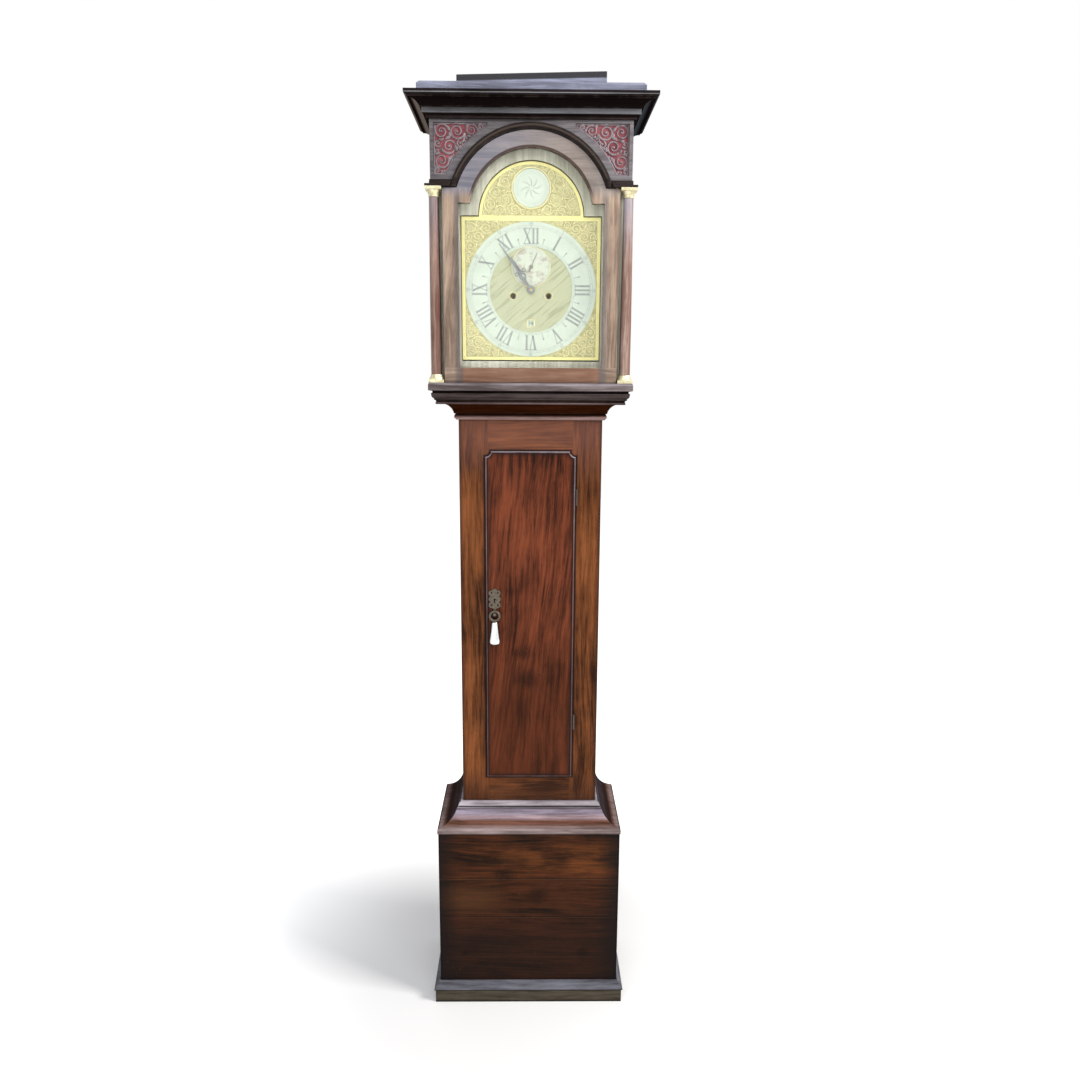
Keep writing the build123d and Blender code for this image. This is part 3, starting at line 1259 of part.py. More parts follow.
def pallets():
    """The anchor over the escape wheel, its arbor, and the crutch that meets the pendulum behind."""
    x, z = PALLETS
    half = [(3, 3), (6, 1), (18, -12), (18, -20), (14.5, -22.5), (13.5, -19), (13.5, -13), (3, -4)]
    anchor = face_of([(x + a, z + b) for a, b in half] + [(x - a, z + b) for a, b in reversed(half)])
    solid = slab(anchor, ESCAPE_START - 1, ESCAPE_START + 3)
    rear = COCK_WEB_DEPTH
    solid += disc(x, z, ARBOR_RADIUS, rear + PLATE + 0.3, INSIDE_FRONT - 0.3)
    solid += disc(x, z, PIVOT_RADIUS_FINE, rear, INSIDE_FRONT + PLATE)
    solid += disc(x, z, 3.5, CRUTCH_DEPTH, CRUTCH_DEPTH + 3)
    solid += board(x - 2, x + 2, CRUTCH_DEPTH, CRUTCH_DEPTH + 3, z - CRUTCH_LENGTH, z)
    prong = ROD_HALF_WIDTH + RUNNING_GAP
    foot = z - CRUTCH_LENGTH
    fork = board(x - prong - 2, x + prong + 2, PENDULUM_DEPTH + 4, CRUTCH_DEPTH + 3, foot - 3, foot + 3)
    fork += board(x - prong - 2, x - prong, PENDULUM_DEPTH - 3, PENDULUM_DEPTH + 5, foot - 3, foot + 3)
    fork += board(x + prong, x + prong + 2, PENDULUM_DEPTH - 3, PENDULUM_DEPTH + 5, foot - 3, foot + 3)
    return solid + fork


COCK_WEB_DEPTH = 58
CRUTCH_DEPTH = 74
COCK_HALF = 28
COCK_HALF_HEIGHT = 9


def back_cock():
    """The bridge on the back plate for the pallet arbor, and the suspension spring that hangs from it."""
    x, z = PALLETS
    h = COCK_HALF_HEIGHT
    web = board(x - COCK_HALF, x + COCK_HALF, COCK_WEB_DEPTH, COCK_WEB_DEPTH + PLATE, z - h, z + h + 8)
    web -= disc(x, z, PIVOT_RADIUS_FINE + PIVOT_BORE_GAP, COCK_WEB_DEPTH - 1, COCK_WEB_DEPTH + PLATE + 1)
    for side in (-1, 1):
        x0, x1 = sorted((side * (COCK_HALF - 4), side * COCK_HALF))
        web += board(x + x0, x + x1, COCK_WEB_DEPTH, BACK_PLATE_DEPTH, z - h, z + h)
    arm = board(x - 8, x + 8, PENDULUM_DEPTH - 6, COCK_WEB_DEPTH + 1, z + h + 2, z + h + 8)
    slot = board(x - 4, x + 4, PENDULUM_DEPTH - 0.4, PENDULUM_DEPTH + 0.4, z + h, z + h + 9)
    top = z + h + 8
    block = board(x - 6, x + 6, PENDULUM_DEPTH - 2, PENDULUM_DEPTH + 2, top, top + 6)
    spring = board(x - 3.5, x + 3.5, PENDULUM_DEPTH - 0.15, PENDULUM_DEPTH + 0.15, z + RUNNING_GAP, top)
    return web + arm - slot, block + spring


def pendulum_rod():
    """The rod with its ferrule below the suspension spring, and the rating nut under the bob."""
    x, z = PALLETS
    ferrule = board(x - 5, x + 5, PENDULUM_DEPTH - 3, PENDULUM_DEPTH + 3, z - 16, z - RUNNING_GAP)
    bob_foot = z - BOB_BELOW_SUSPENSION - BOB_RADIUS
    half = ROD_THICKNESS / 2
    rod = board(
        x - ROD_HALF_WIDTH, x + ROD_HALF_WIDTH, PENDULUM_DEPTH - half, PENDULUM_DEPTH + half, bob_foot - 26, z - 10
    )
    nut = post(x, PENDULUM_DEPTH, bob_foot - 1 - NUT_HEIGHT, bob_foot - 0.3, NUT_RADIUS)
    return ferrule + rod + nut


def pendulum_bob():
    """A lens-shaped bob with a slot for the rod."""
    z = PALLET_Z - BOB_BELOW_SUSPENSION
    half = BOB_THICKNESS / 2
    rim = 3
    lens = disc(0, z, BOB_RADIUS, PENDULUM_DEPTH - rim / 2, PENDULUM_DEPTH + rim / 2)
    for d0, d1, taper in ((PENDULUM_DEPTH - half, PENDULUM_DEPTH, -1), (PENDULUM_DEPTH, PENDULUM_DEPTH + half, 1)):
        wide, narrow = BOB_RADIUS - 1, BOB_RADIUS * 0.45
        cone = Cone(wide, narrow, half)
        turn = Rot(90, 0, 0) if taper > 0 else Rot(-90, 0, 0)
        lens += Pos(0, y_at((d0 + d1) / 2), z) * turn * cone
    slot = ROD_HALF_WIDTH + 0.2
    depth = ROD_THICKNESS / 2 + 0.2
    return lens - board(-slot, slot, PENDULUM_DEPTH - depth, PENDULUM_DEPTH + depth, z - BOB_RADIUS - 5, z + BOB_RADIUS + 5)


def pin_wheel():
    """The pin wheel, whose pins lift the hammer tail."""
    solid = arbor(PIN, INSIDE_BACK, INSIDE_FRONT)
    solid += pinion(PIN_LEAVES, STRIKE_MODULE, PIN, STRIKE, GREAT_START - 1.5)
    rim = pitch_radius(PIN_TEETH, PIN_MODULE) - LIFTING_PIN_CIRCLE + 3
    solid += wheel(PIN_TEETH, PIN_MODULE, PIN, LOCKING, PIN_WHEEL_START, hub=5, rim=rim)
    for pin in range(LIFTING_PINS):
        at = polar(PIN, LIFTING_PIN_CIRCLE, (pin + 0.5) * 360 / LIFTING_PINS)
        start = PIN_WHEEL_START + WHEEL_THICKNESS / 2
        solid += disc(*at, LIFTING_PIN_RADIUS, start, start + 6)
    return solid


def locking_wheel():
    """The locking wheel between the pin wheel and the fly."""
    solid = arbor(LOCKING, INSIDE_BACK, INSIDE_FRONT)
    solid += pinion(LOCKING_LEAVES, PIN_MODULE, LOCKING, PIN, PIN_WHEEL_START - 1.5)
    return solid + wheel(LOCKING_TEETH, LOCKING_MODULE, LOCKING, FLY, LOCKING_WHEEL_START, hub=4, arm=2.5, rim=3)


def fly():
    """The air brake of the strike train."""
    solid = arbor(FLY, INSIDE_BACK, INSIDE_FRONT)
    solid += pinion(FLY_LEAVES, LOCKING_MODULE, FLY, LOCKING, LOCKING_WHEEL_START - 1.5)
    x, z = FLY
    start = INSIDE_BACK + 4
    vane = board(x - FLY_RADIUS, x + FLY_RADIUS, start, start + FLY_LENGTH, z - 0.5, z + 0.5)
    return solid + vane


def hammer():
    """The hammer on its arbor, with a tail that points at the pin wheel."""
    x, z = HAMMER
    solid = arbor(HAMMER, INSIDE_BACK, INSIDE_FRONT)
    head_z = SEAT_TOP + BELL_RIM_ABOVE_SEAT + HAMMER_HEAD_RADIUS
    solid += board(x - 1.5, x + 1.5, LINE_DEPTH - 4, LINE_DEPTH, z, head_z)
    x1 = -BELL_RADIUS - HAMMER_GAP
    solid += side_bar(x1 - HAMMER_HEAD_LENGTH, x1, LINE_DEPTH - 2, head_z, HAMMER_HEAD_RADIUS)
    start = PIN_WHEEL_START + WHEEL_THICKNESS + 1
    direction = towards(HAMMER, PIN)
    reach = math.dist(HAMMER, PIN) - LIFTING_PIN_CIRCLE - LIFTING_PIN_RADIUS - 0.6
    tail = Pos(*polar(HAMMER, reach / 2, direction)) * Rot(0, 0, direction) * Rectangle(reach, 3)
    return solid + slab(tail, start, start + 3)


def bell_and_stand():
    """A hemispherical bell on a stand that rises from the back plate."""
    rim = SEAT_TOP + BELL_RIM_ABOVE_SEAT
    depth = LINE_DEPTH - 2
    outer = Sphere(BELL_RADIUS) - Sphere(BELL_RADIUS - BELL_WALL)
    dome = Pos(0, y_at(depth), rim) * (outer & (Pos(0, 0, BELL_RADIUS) * Box(3 * BELL_RADIUS, 3 * BELL_RADIUS, 2 * BELL_RADIUS)))
    bore = 2.5
    crown = rim + BELL_RADIUS - BELL_WALL
    dome -= post(0, depth, crown - 5, crown + 10, bore + PIVOT_BORE_GAP)
    foot = PALLET_Z + 5
    arm_top = rim + 25
    stand = board(-6, 6, INSIDE_BACK, INSIDE_BACK + 3, foot, arm_top)
    stand += board(-6, 6, INSIDE_BACK, depth + 6, arm_top - 3, arm_top)
    stand += post(0, depth, arm_top - 1, crown - 0.4, 4)
    stand += post(0, depth, crown - 1, crown + BELL_WALL + 6, bore)
    return dome, stand


# Weights and lines


def weight(side):
    """A cased weight, its hook and the stirrup of its pulley."""
    x, z = side[0], PULLEY_CENTRE_HEIGHT
    gap = PULLEY_THICKNESS / 2 + STIRRUP_GAP
    low = z - DRUM_RADIUS - PULLEY_FLANGE - 8
    wall = STIRRUP_THICKNESS
    stirrup = board(x - 5, x + 5, LINE_DEPTH - gap - wall, LINE_DEPTH - gap, low, z + 6)
    stirrup += board(x - 5, x + 5, LINE_DEPTH + gap, LINE_DEPTH + gap + wall, low, z + 6)
    stirrup += board(x - 5, x + 5, LINE_DEPTH - gap - wall, LINE_DEPTH + gap + wall, low - 4, low)
    stirrup += disc(x, z, 2, LINE_DEPTH - gap - wall, LINE_DEPTH + gap + wall)
    top = low - HOOK_LENGTH
    stirrup += post(x, LINE_DEPTH, top - 2, low, HOOK_RADIUS)
    shell = turned(
        [
            (0, top - WEIGHT_HEIGHT),
            (WEIGHT_RADIUS - 2, top - WEIGHT_HEIGHT),
            (WEIGHT_RADIUS, top - WEIGHT_HEIGHT + 2),
            (WEIGHT_RADIUS, top - 6),
            (WEIGHT_RADIUS - 5, top - 2),
            (0, top),
        ],
        x,
        LINE_DEPTH,
    )
    return stirrup + shell


def pulley(side):
    """A grooved pulley on the stirrup's pin."""
    x, z = side[0], PULLEY_CENTRE_HEIGHT
    half = PULLEY_THICKNESS / 2
    groove = LINE_DIAMETER
    solid = disc(x, z, DRUM_RADIUS, LINE_DEPTH - half, LINE_DEPTH + half)
    for d0, d1 in ((LINE_DEPTH - half, LINE_DEPTH - groove), (LINE_DEPTH + groove, LINE_DEPTH + half)):
        solid += disc(x, z, DRUM_RADIUS + PULLEY_FLANGE, d0, d1)
    return solid - disc(x, z, 2 + PIVOT_BORE_GAP, LINE_DEPTH - half - 1, LINE_DEPTH + half + 1)


def gut_line(side):
    """The line from the drum, down round the pulley and up to the seatboard."""
    x, z = side
    low = PULLEY_CENTRE_HEIGHT
    left, right = x - LINE_RADIUS, x + LINE_RADIUS
    plane = Plane(origin=(0, y_at(LINE_DEPTH), 0), x_dir=(1, 0, 0), z_dir=(0, -1, 0))
    path = Curve() + [
        CenterArc((x, z), LINE_RADIUS, 90, 90),
        Line((left, z), (left, low)),
        CenterArc((x, low), LINE_RADIUS, 180, 180),
        Line((right, low), (right, SEAT_TOP + 3)),
    ]
    route = plane * path
    end = Plane(origin=(x, y_at(LINE_DEPTH), z + LINE_RADIUS), x_dir=(0, 1, 0), z_dir=(-1, 0, 0))
    line = sweep(end * Circle(LINE_DIAMETER / 2), path=route)
    section = math.pi * LINE_DIAMETER**2 / 4
    length = math.pi * LINE_RADIUS * 1.5 + (z - low) + (SEAT_TOP + 3 - low)
    print(f"gut line: arcs of radius {LINE_RADIUS:.2f} and {LINE_RADIUS:.2f} mm, tube {line.volume:.1f} mm3, section x length {section * length:.1f} mm3")
    knot = Pos(right, y_at(LINE_DEPTH), SEAT_TOP + KNOT_RADIUS + RUNNING_GAP) * Sphere(KNOT_RADIUS)
    return line + knot


# Writing the pieces

save("backboard", backboard())
save("base_panels", *base_panels())
save("skirting", *mitred_run(SKIRTING_SECTION, BASE_X, BASE_DEPTH, 0))
save("trunk_sides", *trunk_sides())
save("trunk_front_frame", *trunk_front_frame())
waist = mitred_run(WAIST_SECTION, TRUNK_X, TRUNK_DEPTH, BASE_TOP)
throat = mitred_run(THROAT_SECTION, TRUNK_X, TRUNK_DEPTH, TRUNK_TOP)
save("trunk_mouldings", *waist, *throat)
save("seatboard", seatboard())
save("trunk_hinge_case_leaves", *trunk_hinge_case_leaves())
save("trunk_hinge_door_leaves", *trunk_hinge_door_leaves())
save("trunk_door", trunk_door())
save("handle_backplate", handle_backplate())
save("drop_handle", drop_handle())
save("door_lock", door_lock())
save("lock_bolt", lock_bolt())
lower_hole, upper_hole = pivot_holes()
sill = mitred_run(SILL_SECTION, TRUNK_X + SILL_INNER_GAP, TRUNK_DEPTH + SILL_INNER_GAP, THROAT_TOP)
save("hood_sill", *[length - lower_hole for length in sill])
save("hood_sides", *hood_sides())
save("hood_fascia", hood_fascia() - upper_hole)
save("spandrel_frets", *spandrel_frets())
save("silk_panels", *silk_panels())
save("arch_moulding", *arch_moulding())
save("dial_mask", dial_mask())
save("cornice", *mitred_run(CORNICE_SECTION, HOOD_X, HOOD_DEPTH, CORNICE_FOOT))
save("hood_top", *hood_top())
save("hood_columns", *hood_columns())
save("column_mounts", *column_mounts())
save("hood_door_frame", *hood_door_frame())
save("hood_door_glass", hood_door_glass())
save("hood_door_pivots", *hood_door_pivots())
save("dial_plate", dial_plate())
save("silvered_rings", *silvered_rings())
save("spandrel_castings", *spandrel_castings())
save("date_ring", date_ring())
save("minute_hand", minute_hand())
save("hour_hand", hour_hand())
save("seconds_hand", seconds_hand())
save("movement_plates", *movement_plates())
save("back_cock", *back_cock())
save("bell", *bell_and_stand())
save("centre_wheel", *centre_wheel())
save("minute_wheel", minute_wheel())
save("hour_wheel", hour_wheel())
save("third_wheel", third_wheel())
save("escape_wheel", escape_wheel())
save("pallets", pallets())
save("going_great_wheel", great_wheel(GREAT_TEETH, GREAT_MODULE, GOING, CENTRE))
save("strike_great_wheel", great_wheel(STRIKE_TEETH, STRIKE_MODULE, STRIKE, PIN))
save("pin_wheel", pin_wheel())
save("locking_wheel", locking_wheel())
save("fly", fly())
save("hammer", hammer())
save("pendulum_rod", pendulum_rod())
save("pendulum_bob", pendulum_bob())
for train, place in (("going", GOING), ("strike", STRIKE)):
    save(f"{train}_barrel", barrel(place))
    save(f"{train}_weight", weight(place))
    save(f"{train}_pulley", pulley(place))
    save(f"{train}_gut_line", gut_line(place))
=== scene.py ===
"""Longcase clock: its detailed pieces and finishes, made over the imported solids."""

import math
import random

import bmesh
import bpy
from mathutils import Matrix, Vector


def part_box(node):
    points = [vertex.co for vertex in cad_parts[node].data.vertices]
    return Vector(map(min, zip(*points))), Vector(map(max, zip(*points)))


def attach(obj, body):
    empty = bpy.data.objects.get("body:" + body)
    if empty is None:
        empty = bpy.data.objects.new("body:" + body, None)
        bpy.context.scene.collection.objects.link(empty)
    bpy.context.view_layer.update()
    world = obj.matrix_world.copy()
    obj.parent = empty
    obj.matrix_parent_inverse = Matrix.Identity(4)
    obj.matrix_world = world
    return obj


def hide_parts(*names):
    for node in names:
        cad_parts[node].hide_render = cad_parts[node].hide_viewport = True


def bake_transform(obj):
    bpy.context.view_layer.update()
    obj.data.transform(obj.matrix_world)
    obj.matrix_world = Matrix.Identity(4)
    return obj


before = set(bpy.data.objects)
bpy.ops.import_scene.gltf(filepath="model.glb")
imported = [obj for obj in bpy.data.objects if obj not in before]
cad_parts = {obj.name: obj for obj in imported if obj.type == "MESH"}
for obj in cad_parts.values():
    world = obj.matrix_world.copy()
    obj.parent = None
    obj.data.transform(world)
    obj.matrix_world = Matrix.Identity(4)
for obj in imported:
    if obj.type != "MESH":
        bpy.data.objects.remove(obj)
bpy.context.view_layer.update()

bl_info = {
    "name": "Longcase Clock",
    "version": (1, 0, 0),
    "blender": (4, 5, 0),
    "location": "View3D > Sidebar > Clock",
    "description": "Builds the detailed pieces and finishes of a longcase clock",
    "category": "Add Mesh",
}

MM = 0.001
DIAL_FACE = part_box("dial_plate")[0].y
RING_FACE = DIAL_FACE - 1.5 * MM
CENTRE_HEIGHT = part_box("silvered_rings")[0].z + 144 * MM
SECONDS_HEIGHT = CENTRE_HEIGHT + 49 * MM
ARCH_HEIGHT = CENTRE_HEIGHT + 153.4 * MM
BOSS_HEIGHT = ARCH_HEIGHT + 59 * MM
HOOD_ARCH_HEIGHT = ARCH_HEIGHT + 1 * MM
DATE_RADIUS = 72 * MM


def colour_setting(name, description, default):
    return bpy.props.FloatVectorProperty(
        name=name, description=description, subtype="COLOR", size=3, min=0, max=1, default=default
    )


def length_setting(name, description, default):
    return bpy.props.FloatProperty(name=name, description=description, subtype="DISTANCE", default=default)


class ClockSizes(bpy.types.PropertyGroup):
    numeral_height: length_setting("Numeral height", "Height of the hour numerals", 0.031)
    engraving: length_setting("Engraving", "How far the filled engraving stands off its ring", 0.00012)
    scroll_bar: length_setting("Scroll width", "Radius of the bars in the cast spandrels", 0.0013)
    fret_bar: length_setting("Fret width", "Radius of the bars in the hood's frets", 0.0021)
    edge_radius: length_setting("Edge radius", "Rounding of worn wooden edges", 0.0012)
    seed: bpy.props.IntProperty(name="Seed", description="Start of the scrollwork's variation", default=4)


class ClockColours(bpy.types.PropertyGroup):
    wood_dark: colour_setting("Wood, dark", "Dark streaks of the trunk's sides", (0.03, 0.011, 0.006))
    wood_light: colour_setting("Wood, light", "Light streaks of the trunk's sides", (0.20, 0.066, 0.032))
    # The hood's colours hold a painted grey reflection of the sky over the wood.
    hood_dark: colour_setting("Hood, dark", "Dark streaks of the hood's sides", (0.08, 0.055, 0.048))
    hood_light: colour_setting("Hood, light", "Light streaks of the hood's sides", (0.24, 0.175, 0.15))
    brass: colour_setting("Brass", "Polished brass of the dial", (0.94, 0.87, 0.38))
    silvered: colour_setting("Silvering", "Silvered rings of the dial", (0.63, 0.71, 0.61))
    matting: colour_setting("Matting", "Matted centre of the dial", (0.54, 0.565, 0.38))
    engraving: colour_setting("Engraving", "Wax in the numerals and lines", (0.36, 0.39, 0.37))
    silk: colour_setting("Silk", "Silk behind the frets", (0.17, 0.02, 0.032))


# Shader building


class Graph:
    """Short calls for building a node tree."""

    def __init__(self, tree):
        self.tree = tree

    def node(self, kind, inputs=None, **settings):
        made = self.tree.nodes.new(kind)
        for key, value in settings.items():
            setattr(made, key, value)
        self.fill(made, inputs or {})
        return made

    def fill(self, node, values):
        """Links or sets a node's inputs by their names."""
        for key, value in values.items():
            self.feed(node.inputs[key], value)

    def feed(self, socket, value):
        if isinstance(value, bpy.types.NodeSocket):
            self.tree.links.new(value, socket)
        elif value is not None:
            socket.default_value = value

    def math(self, operation, a, b=None, clamp=False):
        made = self.node("ShaderNodeMath", operation=operation, use_clamp=clamp)
        self.feed(made.inputs[0], a)
        self.feed(made.inputs[1], b)
        return made.outputs[0]

    def add(self, a, b, clamp=False):
        return self.math("ADD", a, b, clamp)

    def sub(self, a, b):
        return self.math("SUBTRACT", a, b)

    def mul(self, a, b, clamp=False):
        return self.math("MULTIPLY", a, b, clamp)

    def flip(self, value):
        """One less a value."""
        return self.math("SUBTRACT", 1.0, value)

    def abs(self, value):
        return self.math("ABSOLUTE", value)

    def vector(self, operation, a, b):
        made = self.node("ShaderNodeVectorMath", operation=operation)
        self.feed(made.inputs[0], a)
        self.feed(made.inputs[1], b)
        return made.outputs

    def away(self, point, x, z, tall=1):
        """The distance from a place on the front, with heights stretched by a share."""
        return self.vector("DISTANCE", self.stretched(point, (1, 0, tall)), (x, 0, tall * z))["Value"]

    def mix(self, factor, a, b, blend="MIX"):
        made = self.node("ShaderNodeMix", data_type="RGBA", blend_type=blend)
        for number, value in ((0, factor), (6, a), (7, b)):
            self.feed(made.inputs[number], value)
        return made.outputs[2]

    def times(self, colour, factors):
        return self.mix(1.0, colour, (*factors, 1), "MULTIPLY")

    def noise(self, vector, scale, detail=4.0, rough=0.55):
        return self.node(
            "ShaderNodeTexNoise", {"Vector": vector, "Scale": scale, "Detail": detail, "Roughness": rough}
        ).outputs["Fac"]

    def steps(self, value, low, high):
        """Maps low to 0 and high to 1, with a smooth clamp."""
        return self.node(
            "ShaderNodeMapRange",
            {"Value": value, "From Min": low, "From Max": high},
            interpolation_type="SMOOTHSTEP",
        ).outputs["Result"]

    def between(self, value, low, high, soft=0.0006):
        """One inside a range of a value and nought outside it."""
        above = self.steps(value, low - soft, low + soft)
        return self.mul(above, self.flip(self.steps(value, high - soft, high + soft)))

    def stretched(self, vector, scale):
        return self.node("ShaderNodeMapping", {"Vector": vector, "Scale": scale}).outputs[0]

    def leant(self, vector, degrees):
        inputs = {"Vector": vector, "Rotation": (0, math.radians(degrees), 0)}
        return self.node("ShaderNodeMapping", inputs).outputs[0]

    def parts(self, vector):
        return self.node("ShaderNodeSeparateXYZ", {"Vector": vector}).outputs

    def joined(self, x=0.0, y=0.0, z=0.0):
        return self.node("ShaderNodeCombineXYZ", {"X": x, "Y": y, "Z": z}).outputs[0]

    def crevice(self, reach, low, high, samples=6):
        """One in corners and nought in the open."""
        occlusion = self.node("ShaderNodeAmbientOcclusion", {"Distance": reach}, samples=samples)
        return self.flip(self.steps(occlusion.outputs["AO"], low, high))

    def bump(self, strength, distance, height):
        inputs = {"Strength": strength, "Distance": distance, "Height": height}
        return self.node("ShaderNodeBump", inputs).outputs[0]

    def object_point(self):
        return self.node("ShaderNodeTexCoord").outputs["Object"]

    def facing(self):
        """The parts of the piece's own normal."""
        return self.parts(self.node("ShaderNodeTexCoord").outputs["Normal"])


COLOUR, NUMBER, VECTOR = "NodeSocketColor", "NodeSocketFloat", "NodeSocketVector"


def group_tree(name, inputs, outputs):
    """A new node group's graph, its given sockets and its output node. A default tells an input's kind."""
    tree = bpy.data.node_groups.new(name, "ShaderNodeTree")
    for label, default in inputs.items():
        kind = VECTOR if default is None else COLOUR if isinstance(default, tuple) else NUMBER
        socket = tree.interface.new_socket(label, in_out="INPUT", socket_type=kind)
        if default is not None:
            socket.default_value = default
    for label, kind in outputs.items():
        tree.interface.new_socket(label, in_out="OUTPUT", socket_type=kind)
    return Graph(tree), tree.nodes.new("NodeGroupInput").outputs, tree.nodes.new("NodeGroupOutput")


def board_grain_group():
    """Mahogany figure: broad streaks, fine lines and short dark pores, all along Z of its vector."""
    g, given, result = group_tree(
        "Board Grain",
        {"Vector": None, "Dark": (0.02, 0.01, 0.005, 1), "Light": (0.2, 0.08, 0.04, 1), "Figure": 1.0},
        {"Color": COLOUR, "Height": NUMBER},
    )
    point = given["Vector"]
    warp = g.noise(g.stretched(point, (1, 1, 0.35)), 7, 2)
    warped = g.vector("ADD", point, g.joined(g.mul(warp, 0.05)))["Vector"]
    parts = (
        (g.noise(g.stretched(warped, (1, 1, 0.09)), 38, 3, 0.6), 1.5),
        (g.noise(g.stretched(warped, (1, 1, 0.05)), 150, 4, 0.65), 2.1),
        (g.noise(g.stretched(point, (1, 1, 0.025)), 620, 3, 0.7), 0.9),
        (g.noise(g.stretched(point, (1, 1, 0.55)), 9, 4, 0.65), 1.8),
    )
    tone = 0.45
    for noise, share in parts:
        tone = g.add(tone, g.mul(g.sub(noise, 0.5), share))
    tone = g.mul(tone, given["Figure"], clamp=True)
    pore = g.steps(g.noise(g.stretched(point, (1, 1, 0.05)), 1150, 1, 0.5), 0.63, 0.72)
    colour = g.mix(tone, given["Dark"], given["Light"])
    colour = g.mix(g.mul(pore, 0.45), colour, given["Dark"])
    fine = parts[2][0]
    g.fill(result, {"Color": colour, "Height": g.sub(g.mul(fine, 0.5), pore)})
    return g.tree


def old_varnish_group():
    """Dirt and painted shade in corners, scratches and rubbed edges over a colour, with the roughness that
    goes with them.
    """
    g, given, result = group_tree(
        "Old Varnish",
        {
            "Color": (0.1, 0.05, 0.03, 1),
            "Rubbed": (0.3, 0.16, 0.1, 1),
            "Wear": 0.5,
            "Grime and Shade": 0.7,
            "Gloss": 0.25,
        },
        {"Color": COLOUR, "Roughness": NUMBER},
    )
    point = g.object_point()
    crevice = g.crevice(0.012, 0.35, 0.8)
    bevel = g.node("ShaderNodeBevel", {"Radius": 0.0022}, samples=4)
    true_normal = g.node("ShaderNodeNewGeometry").outputs["Normal"]
    edge = g.steps(g.vector("DOT_PRODUCT", bevel.outputs[0], true_normal)["Value"], 0.985, 0.85)
    patchy = g.steps(g.noise(point, 45, 4), 0.42, 0.62)
    edge = g.mul(g.mul(edge, patchy), given["Wear"])
    smear = g.noise(g.stretched(point, (1, 1, 0.6)), 11, 5, 0.65)
    marks = g.steps(g.noise(g.stretched(point, (1, 1, 0.12)), 260, 2, 0.5), 0.70, 0.76)
    colour = g.mix(edge, given["Color"], given["Rubbed"])
    # Dirt and painted shade: corners darken towards black by how hidden they are from light.
    colour = g.mix(g.mul(crevice, given["Grime and Shade"]), colour, (0.006, 0.004, 0.003, 1))
    colour = g.mix(g.mul(marks, 0.08), colour, given["Rubbed"])
    rough = g.add(given["Gloss"], g.mul(g.sub(smear, 0.5), 0.4))
    g.fill(result, {"Color": colour, "Roughness": g.add(rough, g.mul(crevice, 0.3), clamp=True)})
    return g.tree


def tarnish_group():
    """Patchy dulling of metal: a colour between clean and tarnished, and its roughness."""
    g, given, result = group_tree(
        "Tarnish",
        {"Clean": (0.8, 0.6, 0.3, 1), "Dull": (0.3, 0.2, 0.1, 1), "Amount": 0.5, "Scale": 60.0, "Gloss": 0.3},
        {"Color": COLOUR, "Roughness": NUMBER, "Height": NUMBER},
    )
    point = g.object_point()
    cloud = g.noise(point, given["Scale"], 6, 0.65)
    dull = g.mul(g.steps(cloud, 0.4, 0.66), given["Amount"])
    dull = g.math("MAXIMUM", dull, g.mul(g.crevice(0.004, 0.3, 0.85), 0.75))
    g.fill(
        result,
        {
            "Color": g.mix(dull, given["Clean"], given["Dull"]),
            "Roughness": g.add(given["Gloss"], g.mul(dull, 0.3), clamp=True),
            "Height": g.noise(point, 900, 3),
        },
    )
    return g.tree


GROUPS = {}


def placed_group(g, build, inputs):
    """The outputs of a shared node group, which is built on its first use."""
    if build not in GROUPS:
        GROUPS[build] = build()
    return g.node("ShaderNodeGroup", inputs, node_tree=GROUPS[build]).outputs


def new_material(name):
    """A material, its graph and its Principled shader."""
    material = bpy.data.materials.new(name)
    material.use_nodes = True
    return material, Graph(material.node_tree), material.node_tree.nodes["Principled BSDF"]


def rgba(colour):
    return (*colour, 1.0)


def swapped(g, point):
    """The point with X and Z exchanged, for grain that runs across."""
    parts = g.parts(point)
    return g.joined(parts["Z"], parts["Y"], parts["X"])


def wood_material(
    name, dark=None, light=None, along="Z", gloss=0.4, spec=0.06, wear=0.3, grime_and_shade=0.8, figure=1.0, mask=None,
    tint=None, layers=(), lean=0.0,
):
    """Varnished wood. along is Z or X, or a mask picks the places whose grain runs across.

    tint, the painted light and shade of a moulding in level bands, makes both streaks' colours from the place
    on the piece, and layers change the grain's colour.
    """
    material, g, shader = new_material(name)
    point = g.object_point()
    upright = g.leant(point, lean) if lean else point
    vector = upright if along == "Z" else swapped(g, point)
    if mask:
        mixed = g.node("ShaderNodeMix", data_type="VECTOR")
        for number, value in ((0, mask(g, point)), (4, upright), (5, swapped(g, point))):
            g.feed(mixed.inputs[number], value)
        vector = mixed.outputs[1]
    if tint:
        light = tint(g, point)
        dark = g.times(light, (0.36, 0.34, 0.33))
    else:
        dark, light = rgba(dark), rgba(light)
    inputs = {"Vector": vector, "Dark": dark, "Light": light, "Figure": figure}
    grain = placed_group(g, board_grain_group, inputs)
    colour = grain["Color"]
    for layer in layers:
        colour = layer(g, point, colour)
    rubbed = g.mix(0.5, light, (0.42, 0.30, 0.23, 1))
    inputs = {"Color": colour, "Rubbed": rubbed, "Wear": wear, "Grime and Shade": grime_and_shade, "Gloss": gloss}
    varnish = placed_group(g, old_varnish_group, inputs)
    g.fill(
        shader,
        {
            "Base Color": varnish["Color"],
            "Roughness": varnish["Roughness"],
            "Normal": g.bump(0.25, 0.0002, grain["Height"]),
            "Specular IOR Level": spec,
        },
    )
    return material


